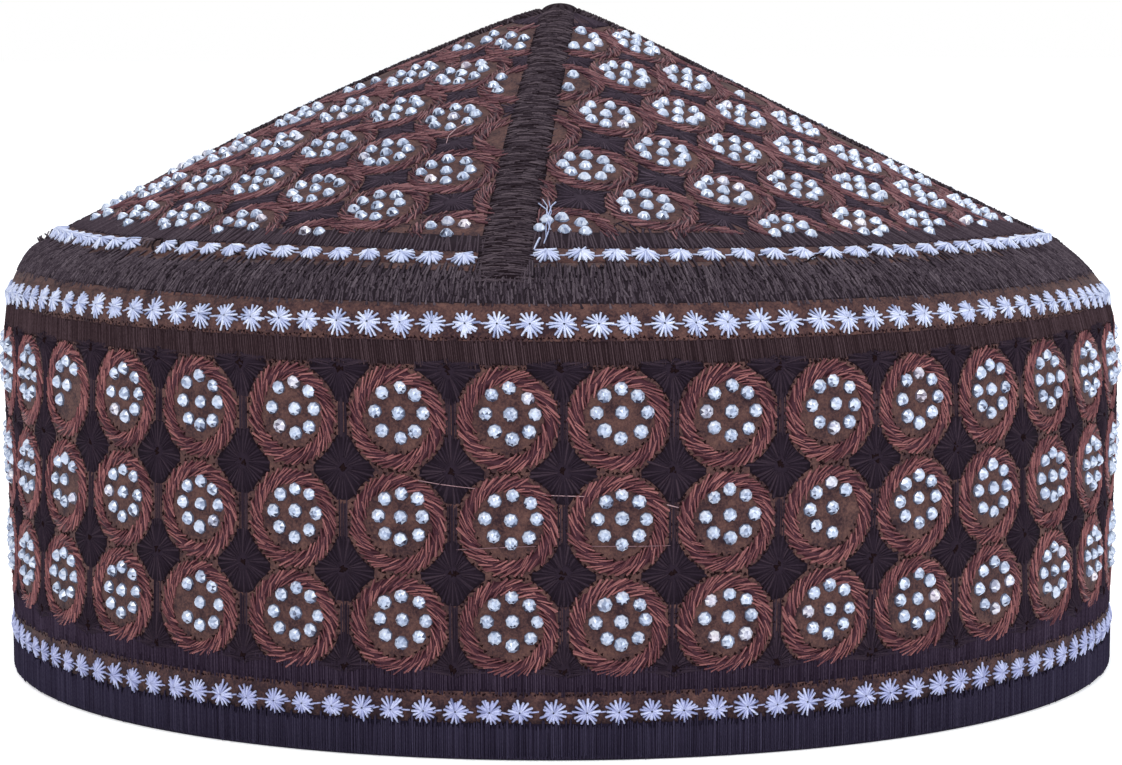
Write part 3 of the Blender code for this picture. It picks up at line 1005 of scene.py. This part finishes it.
def sewn_stones(name, azimuth, step, sky_light=0.0):
    """Stones at these places. The girdle's foot is dark, a painted shadow round each stone, and every facet
    above it has a painted reflection of its own: brighter on the side up the slope, as painted light from
    above, and closer to each other round the point. The sky light adds painted light to the whole stone."""
    shape, faces = stone_shape()
    count = len(azimuth)
    size = STONE_RADIUS * random.normal(1, 0.03, count)
    spin = random.uniform(0, TURN, count)
    points, numbered = repeated(shape, faces, azimuth, step, size, spin, 0.02 * MM)
    x, y, _ = shape[faces].mean(1).T
    # painted light: facets on the side up the slope are brighter
    upward = np.hypot(x, y) * np.sin(np.arctan2(y, x) + spin[:, None])
    facet = np.clip(random.beta(1.0, 0.85, (count, len(faces))) + 0.32 * upward + sky_light, 0, 1)
    # painted shadow round each stone: the girdle's foot is dark
    facet[:, : 2 * STONE_CORNERS] *= 0.12 + 0.6 * sky_light
    point = facet[:, 4 * STONE_CORNERS : 5 * STONE_CORNERS]
    facet[:, 4 * STONE_CORNERS : 5 * STONE_CORNERS] = blend(point, point[:, :1], 0.45) * 0.8
    warmth = np.where(random.random(count) < WARM_STONES, random.uniform(0.3, 0.75, count), 0.06)
    values = {"facet": facet.ravel(), "warmth": np.repeat(warmth, len(faces))}
    finish_piece(name, points, numbered, [STONE], smooth=False, values=values)


def needle_marks(name, azimuth, step, size, lift=0.0):
    """Needle holes: low three-cornered dark studs, painted shade in the holes, whose rim is under the cloth's
    nap.
    """
    corner = even_turns(3)
    rim = np.stack([np.cos(corner), np.sin(corner), np.full(3, -0.02)], -1)
    shape = np.concatenate([rim, [[0, 0, 0.36]]])
    faces = np.array([(0, 1, 3), (1, 2, 3), (2, 0, 3), (0, 2, 1)])
    count = len(azimuth)
    scale = size * random.uniform(0.7, 1.3, count)
    points, numbered = repeated(shape, faces, azimuth, step, scale, random.uniform(0, TURN, count), lift)
    finish_piece(name, points, numbered, [NEEDLE_HOLE_SHADE])


def ring_marks(centres, rounds):
    """Places of the needle holes round each ring: close along its outer edge, and a few along the lower part
    of its inner edge, where they paint the ring's shadow on its disc."""
    outer, inner = 48, 12
    low = -QUARTER + np.linspace(-1.2, 1.2, inner)
    angle = np.concatenate([even_turns(outer), low])
    radius = np.concatenate([np.full(outer, rounds[-1][1] + 0.2), np.full(inner, rounds[0][0] - 0.1)]) * MM
    angle = angle + random.normal(0, 0.03, (len(centres), len(angle)))
    radius = radius + random.normal(0, 0.13 * MM, angle.shape)
    return np.stack([place.ravel() for place in spokes(centres, radius, angle)])


def edge_marks():
    """Rows of needle holes along the edges of the satin bands that brown cloth lies beside."""
    count = int(TURN * CAP_RADIUS / EDGE_MARK_PITCH)
    places = []
    for step, side in MARKED_EDGES:
        azimuth = (np.arange(count) + random.normal(0, 0.22, count)) * TURN / count
        offset = side * random.normal(0.25, 0.12, count) * MM
        level = np.full(count, step) + offset / cap_frame(0, step)[4][1]
        places.append((azimuth, lifted(azimuth, level)))
    azimuth, step = (np.concatenate([p[i] for p in places]) for i in (0, 1))
    needle_marks("satin_needle_marks", azimuth, step, 0.24 * MM)


def column_azimuths():
    """Azimuths of the columns of medallions: evenly spaced, with a slow drift four times round and two
    places where they are set a little to one side."""
    even = FIRST_COLUMN + even_turns(COLUMNS)
    right = RIGHT_SHIFT * bump(even, np.radians(24), np.radians(11))
    left = LEFT_SHIFT * bump(even, np.radians(-68), np.radians(13))
    return even + COLUMN_DRIFT * np.cos(4 * (even - COLUMN_DRIFT_START)) + right + left


def stone_places(centres):
    """Nine places for each centre: the middle, then eight round it from the top, clockwise, each a little
    off at random."""
    angle = QUARTER - even_turns(STONES_AROUND)
    x = np.concatenate([[0], STONE_CIRCLE * np.cos(angle)])
    y = np.concatenate([[0], STONE_CIRCLE * np.sin(angle)])
    places = centres[:, None] + np.stack([x, y], -1)
    return places + random.normal(0, 0.12 * MM, places.shape)


def band_medallions():
    """Three rows of medallions round the band, the dark diamonds between them, the few strands over the
    gaps between two rings and the needle holes."""
    columns = column_azimuths() * CAP_RADIUS - RING_SHIFT
    rows = STONE_ROWS - RING_DROP
    x, y = pairs(columns, rows)
    centres = np.stack([x, y], -1)
    rope_rings("band_rings", wall_plane, centres, BAND_ROUNDS, RING_THREAD)

    places = stone_places(centres + [RING_SHIFT, RING_DROP]).reshape(COLUMNS, len(rows), 9, 2)
    kept = np.ones(places.shape[:3], bool)
    for (row, column), numbers in LOST_STONES.items():
        kept[column, row, list(numbers)] = False
    azimuth, step = wall_plane(places[kept][:, 0], places[kept][:, 1])
    sewn_stones("band_stones", azimuth, step)

    next_column = np.concatenate([columns[1:], [columns[0] + TURN * CAP_RADIUS]])
    rows_beyond = np.array([rows[0] + MEDALLION_DROP, *rows, rows[-1] - MEDALLION_DROP])
    left, level = pairs(columns, DIAMOND_LEVELS)
    right = np.repeat(next_column, len(DIAMOND_LEVELS))
    above, below = np.tile(rows_beyond[:-1], COLUMNS), np.tile(rows_beyond[1:], COLUMNS)
    middle = np.stack([(left + right) / 2, level], -1)
    corners = (left, above), (right, above), (left, below), (right, below)
    neighbours = np.stack([np.stack(corner, -1) for corner in corners], 1)
    outside = BAND_ROUNDS[-1][1] * MM
    gap_x, gap_y = pairs((columns + next_column) / 2, rows)
    offsets = np.linspace(-0.6, 0.6, STRANDS_IN_GAP) * MM
    strand_x = (gap_x[:, None] + offsets).ravel()
    strand_x = strand_x + random.normal(0, 0.05 * MM, len(strand_x))
    strand_y = np.repeat(gap_y, STRANDS_IN_GAP)
    half = random.uniform(2.6, 4.2, len(strand_x)) * MM
    ends = wall_plane(strand_x, strand_y - half), wall_plane(strand_x, strand_y + half)
    strands = sewn(*ends, 0.32 * MM, 0.12 * MM, tones(len(strand_x), 0.2, 0.55), 2)
    levels = DIAMOND_LOWEST, DIAMOND_HIGHEST
    diamonds(
        "band_diamonds", wall_plane, middle, neighbours, outside, DIAMOND_THREAD, BAND_DIAMOND, levels=levels,
        more=[strands],
    )

    marks = ring_marks(centres, BAND_ROUNDS)
    holes = np.repeat(middle, 5, axis=0) + random.normal(0, 0.28 * MM, (5 * len(middle), 2))
    azimuth, step = wall_plane(*np.concatenate([marks, holes.T], 1))
    kinds = np.repeat([0, 1], [marks.shape[1], len(holes)])
    sizes, lifts = np.array([0.32, 0.42])[kinds] * MM, np.array([0, 0.18])[kinds] * MM
    needle_marks("band_needle_marks", azimuth, step, sizes, lifts)


class Gore:
    """One gore of the crown. Its medallions are drawn in the plane of the unrolled crown, which has the apex
    at its origin and the front or the back seam, whichever the gore lies beside, straight down from it."""

    def __init__(self, number):
        is_left = number % 2 == 1
        self.number = number
        self.name = GORE_NAMES[number]
        self.terms = LEFT_LATTICE if is_left else RIGHT_LATTICE
        self.mirror = np.array([-1, -1]) if is_left else np.array([1, -1])
        self.turn = QUARTER * (number + 1 if is_left else number)

    def place(self, x, y):
        """The place on the cap. The cone's slope makes an angle in the plane smaller than the azimuth is."""
        azimuth = SEAM_AZIMUTH + self.turn + np.arctan2(x, -y) / GORE_SLOPE_SHARE
        return azimuth, 3 - np.hypot(x, y) * GORE_SLOPE_SHARE / GORE_PLANE_RADIUS

    def lattice(self, sites):
        """Places of lattice sites (u across, w down) in the plane, in metres: a start, a step for each, and
        small terms in u squared, u times w and w squared."""
        u, w = sites[..., 0, None], sites[..., 1, None]
        factors = 1, u, w, u * u, u * w, w * w
        return sum(np.array(term) * factor for term, factor in zip(self.terms, factors)) * MM * self.mirror

    def inside(self, x, y, clear, foot=CROWN_STRIPE[1]):
        """Whether a place of the plane is on the gore's open cloth, that far from the strips and edges."""
        azimuth, step = self.place(x, y)
        beside = seam_distance(azimuth, step) > seam_width(step) / 2 + clear
        edge = lifted(azimuth, np.full(step.shape, foot)) + clear / CROWN_BASE_RADIUS
        return beside & (step > edge) & (step < APEX_SATIN[0]) & (gore_of(azimuth, step) == self.number)

    def ring_inside(self, x, y, clear):
        """The same test for the rings, whose edges lie over the stripe."""
        return self.inside(x, y, clear, CROWN_STRIPE[1] - 0.008)

    def near(self, x, y):
        """Whether any part of a medallion at this place may show."""
        step = self.place(x, y)[1]
        side = 6 * MM
        moves = [(0, 0), (side, 0), (-side, 0), (0, side), (0, -side)]
        touching = np.any([self.inside(x + right, y + up, 0) for right, up in moves], 0)
        return touching & (step > CROWN_STRIPE[1] - 0.08) & (step < 3)


def bare(number, spots, azimuth, step):
    """Whether a stone's spot is one of those that have none, in the plane of the gore with this number."""
    x, y = spots.T / MM
    none = np.zeros(len(spots), bool)
    for x_from, x_to, y_from, y_to in BARE_PLACES if number in (0, 3) else []:
        none |= (x > x_from) & (x < x_to) & (y > y_from) & (y < y_to)
    from_front = np.abs((azimuth - seam_azimuth(step) + TURN / 2) % TURN - TURN / 2)
    for gore, beside, step_from, step_to in BARE_SIDES:
        by_side = seam_distance(azimuth, step) < seam_width(step) / 2 + beside
        there = by_side & (from_front > QUARTER / 2) & (step > step_from) & (step < step_to)
        none |= there & (number == gore)
    return none


def crown_medallions(number):
    """Medallions, diamonds and needle holes of one gore. What lies under a strip, the stripe or the button
    is left out."""
    gore = Gore(number)
    u, w = pairs(LATTICE_ACROSS, LATTICE_DOWN)
    ringed = (u + w) % 2 == 0
    sites = np.stack([u, w], -1)
    stone_centres = gore.lattice(sites[ringed])
    stone_centres = stone_centres[gore.near(*stone_centres.T)]
    centres = stone_centres + CROWN_RING_SHIFT
    rings = f"crown_rings_{gore.name}"
    rope_rings(rings, gore.place, centres, CROWN_ROUNDS, CROWN_RING_THREAD, gore.ring_inside)

    spots = stone_places(stone_centres).reshape(-1, 2)
    azimuth, step = gore.place(*spots.T)
    kept = gore.inside(*spots.T, 0.15 * MM, CROWN_STONE_FOOT) & ~bare(number, spots, azimuth, step)
    sewn_stones(f"crown_stones_{gore.name}", azimuth[kept], step[kept], CROWN_STONE_SKY_LIGHT[number])

    odd = sites[~ringed]
    middle = gore.lattice(odd) + CROWN_RING_SHIFT
    shown = gore.near(*middle.T)
    beside = np.array([(1, 0), (-1, 0), (0, 1), (0, -1)])
    neighbours = gore.lattice(odd[:, None] + beside) + CROWN_RING_SHIFT
    outside = CROWN_ROUNDS[-1][1] * MM
    diamonds(
        f"crown_diamonds_{gore.name}", gore.place, middle[shown], neighbours[shown], outside,
        CROWN_DIAMOND_THREAD, CROWN_DIAMOND, gore.inside,
    )

    marks = ring_marks(centres, CROWN_ROUNDS)
    azimuth, step = gore.place(*marks[:, gore.inside(*marks, 0.1 * MM)])
    needle_marks(f"crown_needle_marks_{gore.name}", azimuth, step, 0.22 * MM)


# Seam strips and button


def seam_place(distance):
    """The step at a distance up the seam from the strip's foot."""
    foot_length = (2 - SEAM_FOOT_STEP) * SHOULDER_LENGTH
    on_shoulder = SEAM_FOOT_STEP + distance / SHOULDER_LENGTH
    return np.where(distance < foot_length, on_shoulder, 2 + (distance - foot_length) / CROWN_LENGTH)


def strip_place(turn, across, along):
    """The azimuth and step of a place on a strip: a share of its half width and a distance up it."""
    step = seam_place(along)
    middle = seam_azimuth(step) + turn
    return middle + across * seam_width(step) / 2 / cap_frame(middle, step)[4][0], step


def strip_bulge(across, along):
    """The height of a strip's ridge above the cloth: one less the square of the share across, eased in at
    the strip's foot."""
    return SEAM_BULGE * (1 - across**2) * ease(along / (4 * MM) + 0.3)


def seam_strip(number):
    """A raised strip over one seam: a smooth ridge, covered with rows of short crosswise stitches, three to a
    row, set off from row to row and uneven at the strip's edges and foot."""
    node = f"crown_seam_{SEAM_NAMES[number]}"
    turn = number * QUARTER
    length = (2 - SEAM_FOOT_STEP) * SHOULDER_LENGTH + (1 - SEAM_TOP_OUT) * CROWN_LENGTH
    across, along = np.meshgrid(np.linspace(-1, 1, 11), np.linspace(0.4 * MM, length, 90), indexing="ij")
    azimuth, step = strip_place(turn, across, along)
    parts = [plain(*sheet(azimuth, step, strip_bulge(across, along), -0.1 * MM, False), 0.12)]

    row_count = int(length / SEAM_PITCH)
    row = np.repeat(np.arange(row_count), 3)
    slot = np.tile([-0.66, 0.0, 0.66], row_count)
    count = len(row)
    centre = slot + 0.2 * (row % 2 * 2 - 1) + random.normal(0, 0.09, count)
    edge = random.normal(1.02, 0.10, count)
    start = np.clip(centre - random.uniform(0.30, 0.48, count), -edge, edge - 0.2)
    end = np.clip(centre + random.uniform(0.30, 0.48, count), start + 0.2, edge)
    along = row * SEAM_PITCH + random.normal(0, 0.10 * MM, count)
    along = np.maximum(along + np.where(row < 8, random.normal(0, 0.7 * MM, count), 0), 0)
    slope = random.normal(0, 0.16 * MM, count)
    foot = strip_place(turn, start, np.maximum(along - slope, 0))
    head = strip_place(turn, end, np.maximum(along + slope, 0))
    rise = strip_bulge(start, along), strip_bulge(end, along)
    wide = random.uniform(0.30, 0.44, count) * MM
    tall = random.uniform(0.10, 0.24, count) * MM
    tone, wave = tones(count, 0.2), random.normal(0, 0.08 * MM, count)
    parts.append(sewn(foot, head, wide, tall, tone, 3, rise, arch=0.05 * MM, wave=wave))
    finish_threads(f"{node}_stitching", parts, SEAM_THREAD, [node])


def apex_button():
    """The button where the seams meet: a dome whose radius and height follow a quarter of a sine and of a
    cosine, with a cosine round it that makes a shallow rib for each of its stitches."""
    node = "apex_button"
    low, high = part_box(node)
    centre = np.array((low + high) / 2)
    ribs, rows = 24, 9
    columns = 4 * ribs
    angle = even_turns(columns)[:, None]
    polar = np.linspace(0.06, 1, rows) * QUARTER
    radius = BUTTON_RADIUS * np.sin(polar) * (1 + 0.02 * np.cos(ribs * angle) * np.sin(polar))
    height = low.z + (high.z - low.z) * np.cos(polar) * (1 + 0 * angle)
    x, y = centre[0] + radius * np.cos(angle), centre[1] + radius * np.sin(angle)
    ring = np.stack([x, y, height], -1)[:, ::-1]
    ends = np.array([[*centre[:2], low.z], [*centre[:2], high.z]])
    points = np.concatenate([ring.reshape(-1, 3), ends])
    quads = grid_faces(columns, rows, True)
    i = np.arange(columns)
    k = (i + 1) % columns
    foot = np.stack([k * rows, i * rows, np.full(columns, columns * rows)], -1)
    head = np.stack([i * rows + rows - 1, k * rows + rows - 1, np.full(columns, columns * rows + 1)], -1)
    faces = np.concatenate([triangles(quads), foot, head])
    rib_tone = np.repeat(0.35 + 0.12 * np.cos(ribs * angle[:, 0]), rows)
    tone = np.concatenate([rib_tone, [0.35, 0.35]])
    uv = np.stack([np.repeat(i * ribs / columns, rows), np.tile(np.arange(rows) * 0.5, columns)], -1)
    uv = np.concatenate([uv, [[0, 0], [0, 4]]])
    finish_piece(
        f"{node}_stitching", points, faces, [SEAM_THREAD], [node], values={"tone": tone}, uv=uv
    )


# Loose threads


def loose_threads(name, threads, material, end_height=0.1 * MM):
    """Threads that lie loosely over the embroidery, from place to place, lifted a little in between. Each
    is its places (azimuth in degrees, step), its width and its tone, and its far end is at the end
    height."""
    parts = []
    for places, wide, tone in threads:
        azimuth, step = np.array(places).T
        azimuth = np.radians(azimuth)
        height = np.full(len(places), LOOSE_HEIGHT)
        height[[0, -1]] = 0.1 * MM, end_height
        start, end = (azimuth[:-1], step[:-1]), (azimuth[1:], step[1:])
        rise = height[:-1], height[1:]
        parts.append(sewn(start, end, wide * MM, wide * 0.6 * MM, tone, 5, rise))
    finish_threads(name, parts, material)


MAUVE_THREADS = [
    ([(-13.0, 0.726), (-10.7, 0.717), (-7.5, 0.706)], 0.14, 0.6),
    ([(-1.7, 0.691), (2.1, 0.687)], 0.15, 0.8),
    ([(9.3, 0.663), (10.4, 0.654)], 0.16, 1.0),
    ([(-9.4, 0.548), (-5.5, 0.556), (-2.1, 0.56)], 0.11, 0.35),
    ([(2.3, 0.559), (6.7, 0.558), (9.7, 0.557)], 0.11, 0.35),
    ([(-16.3, 2.399), (-16.6, 2.425), (-15.9, 2.451), (-14.8, 2.465), (-14.4, 2.492)], 0.16, 1.0),
]
PALE_THREADS = [
    ([(-0.2, 2.196), (0.7, 2.17), (1.1, 2.134), (0.7, 2.102), (0.0, 2.067)], 0.24, 0.4),
    ([(2.1, 2.20), (1.4, 2.18), (0.9, 2.15), (0.8, 2.12)], 0.24, 0.45),
    ([(1.2, 2.205), (1.3, 2.16), (0.5, 2.12), (0.3, 2.08)], 0.2, 0.3),
    ([(0.4, 2.21), (0.9, 2.18), (0.6, 2.14), (1.0, 2.11)], 0.2, 0.6),
    ([(-0.3, 2.086), (-0.5, 2.075), (-1.1, 2.05)], 0.34, 0.6),
    ([(-55.5, 2.050), (-53.7, 2.057), (-52.2, 2.065)], 0.26, 0.4),
]
DARK_THREADS = [
    ([(26.0, 1.985), (27.7, 2.008), (29.3, 2.02), (31.0, 2.022)], 0.3, 0.05),
    ([(-45.4, 2.066), (-43.6, 2.045), (-42.4, 2.022)], 0.3, 0.0),
    ([(-39.6, 2.056), (-39.0, 2.04), (-38.4, 2.024)], 0.3, 0.1),
    ([(-36.4, 2.05), (-35.8, 2.036), (-35.4, 2.024)], 0.3, 0.1),
    ([(-35.0, 2.036), (-34.2, 2.024), (-33.6, 2.026)], 0.3, 0.1),
    (
        [(-46.3, 2.022), (-47.6, 2.036), (-48.4, 2.055), (-47.6, 2.06), (-46.8, 2.047), (-45.6, 2.026)],
        0.35,
        0.0,
    ),
    ([(-50.6, 2.04), (-50.9, 2.055), (-50.6, 2.064)], 0.45, 0.9),
    ([(-49.6, 2.036), (-49.9, 2.05), (-49.7, 2.064)], 0.5, 1.0),
    ([(-48.6, 2.034), (-49.0, 2.05), (-48.9, 2.062)], 0.4, 0.7),
    ([(-0.9, 2.05), (-1.2, 2.038)], 0.3, 0.0),
]
FRAYED_THREADS = [
    ([(-80.0, 2.012), (-84.0, 2.006), (-86.5, 2.0)], 0.3, 0.9),
    ([(-79.0, 2.02), (-83.0, 2.018), (-85.5, 2.012)], 0.3, 0.6),
    ([(-81.0, 2.004), (-84.5, 1.996), (-87.0, 1.985)], 0.25, 0.8),
    ([(-80.0, 2.008), (-84.0, 2.014), (-86.0, 2.02)], 0.25, 1.0),
    ([(-81.5, 2.016), (-84.5, 2.02), (-87.0, 2.026)], 0.3, 0.3),
    ([(-79.5, 2.0), (-83.0, 1.992), (-85.0, 1.98)], 0.3, 0.5),
    ([(-82.5, 2.01), (-85.5, 2.0), (-88.0, 1.994)], 0.3, 0.7),
]
FRAY_HEIGHT = 1.0 * MM


# Making the pieces

band_steps = np.concatenate([np.linspace(BAND_FOOT / WALL_TOP, 1, 10), np.linspace(1, SHOULDER_JOIN, 15)[1:]])
ring_cloth("band_cloth", band_steps, BAND_THICKNESS, ["band"])
ring_cloth("shoulder_cloth", np.linspace(SHOULDER_JOIN, CROWN_JOIN, 14), CROWN_THICKNESS, ["shoulder_roll"])
rim_binding()
for number in range(4):
    gore_cloth(number)
satin_band("hem_satin", *HEM, HEM_THREAD, ragged=(0.12, 0.45), lift=(0.3, 0.24))
satin_band("lower_satin", *LOWER_SATIN, LOWER_THREAD, ragged=(0.45, 0.3))
satin_band("upper_satin", *UPPER_SATIN, UPPER_THREAD)
satin_band(
    "shoulder_satin", *SHOULDER_SATIN, SHOULDER_THREAD, slant=0.3, ragged=(0.45, 0.3),
    spans=((0.0, 0.3), (0.16, 0.5), (0.34, 0.68), (0.52, 0.86), (0.7, 1.0)), pitch=0.42 * MM,
)
satin_band(
    "crown_stripe_satin", *CROWN_STRIPE, STRIPE_THREAD, slant=0.45, spread=0.1, ragged=(0.25, 0.5),
    pitch=0.42 * MM,
)
satin_band("apex_satin", *APEX_SATIN, CROWN_DIAMOND_THREAD, slant=0.3)
for name, row in STAR_ROWS.items():
    star_row(name, SHADED_STAR_THREAD if name == "low" else STAR_THREAD, *row)
band_medallions()
for number in range(4):
    crown_medallions(number)
for number in range(4):
    seam_strip(number)
apex_button()
edge_marks()
loose_threads("loose_mauve_threads", MAUVE_THREADS, LOOSE_THREAD)
loose_threads("loose_pale_threads", PALE_THREADS, STAR_THREAD)
loose_threads("loose_dark_threads", DARK_THREADS, SEAM_THREAD)
loose_threads("frayed_threads", FRAYED_THREADS, SEAM_THREAD, FRAY_HEIGHT)


# Studio

FOCAL_LENGTH = 106.13
CAMERA_DISTANCE = 0.552
CAMERA_HEIGHT = 0.10007
CAMERA_PITCH = np.radians(5.711)
CAMERA_ROLL = np.radians(-0.177)
FLOOR_GLOW = 0.45
FLOOR_REACH = 40
LIGHT_AIM = Vector((0, 0, 0.05))
ROOM_LIGHT = [(0.0, (0.28, 0.295, 0.33, 1)), (0.8, (0.72, 0.74, 0.78, 1))]


def camera():
    """The camera at the photograph's angle, level but for a small roll."""
    data = bpy.data.cameras.new("camera")
    data.sensor_width = 36
    data.lens = FOCAL_LENGTH
    data.clip_start = 0.01
    data.clip_end = 100
    item = in_scene("camera", data)
    turned = Matrix.Rotation(QUARTER - CAMERA_PITCH, 4, "X") @ Matrix.Rotation(CAMERA_ROLL, 4, "Z")
    item.matrix_world = Matrix.Translation((0, -CAMERA_DISTANCE, CAMERA_HEIGHT)) @ turned
    bpy.context.scene.camera = item


def floor():
    """A wide pale floor that reaches past the horizon of every view."""
    mesh = bpy.data.meshes.new("floor")
    corners = [(x * FLOOR_REACH, y * FLOOR_REACH, 0) for x, y in ((-1, -1), (1, -1), (1, 1), (-1, 1))]
    mesh.from_pydata(corners, [], [(0, 1, 2, 3)])
    shade = Shade("pale_floor")
    grain = shade.noise(shade.place(), 30, 2)
    colour = shade.mix(grain, (0.93, 0.93, 0.94, 1), (0.95, 0.95, 0.96, 1))
    sockets = {"Base Color": colour, "Roughness": 0.7, "Specular IOR Level": 0.2}
    sockets |= {"Emission Color": (1, 1, 1, 1), "Emission Strength": FLOOR_GLOW}
    mesh.materials.append(shade.finish(sockets))
    in_scene("floor", mesh)


def soft_light(name, place, size, power, colour):
    """A square soft box that looks at the cap."""
    data = bpy.data.lights.new(name, "AREA")
    data.size = size
    data.energy = power
    data.color = colour
    item = in_scene(name, data)
    aim = LIGHT_AIM - Vector(place)
    item.matrix_world = Matrix.Translation(place) @ aim.to_track_quat("-Z", "Y").to_matrix().to_4x4()


def room():
    """A pale room, brighter overhead than at the horizon, and plain white where the camera sees it."""
    shade = Shade("room", bpy.data.worlds)
    height = shade.split(shade.node("ShaderNodeTexCoord", result="Generated"))[2]
    light = shade.node("ShaderNodeBackground", {}, {"Color": shade.ramp(height, ROOM_LIGHT)})
    seen = shade.node("ShaderNodeBackground", {}, {"Color": (1, 1, 1, 1)})
    by_camera = shade.node("ShaderNodeLightPath", result="Is Camera Ray")
    chosen = shade.node("ShaderNodeMixShader", {}, {0: by_camera, 1: light, 2: seen})
    bpy.context.scene.world = shade.show(chosen, "ShaderNodeOutputWorld")


camera()
floor()
room()
soft_light("key", (-0.36, -0.95, 1.1), 0.9, 8.8, (1.0, 0.98, 0.97))
soft_light("fill", (0.9, -0.6, 0.8), 0.8, 4.9, (0.94, 0.97, 1.0))
soft_light("back", (0.0, 0.9, 1.2), 0.9, 5.5, (1.0, 1.0, 1.0))
bpy.context.scene.view_settings.view_transform = "Standard"
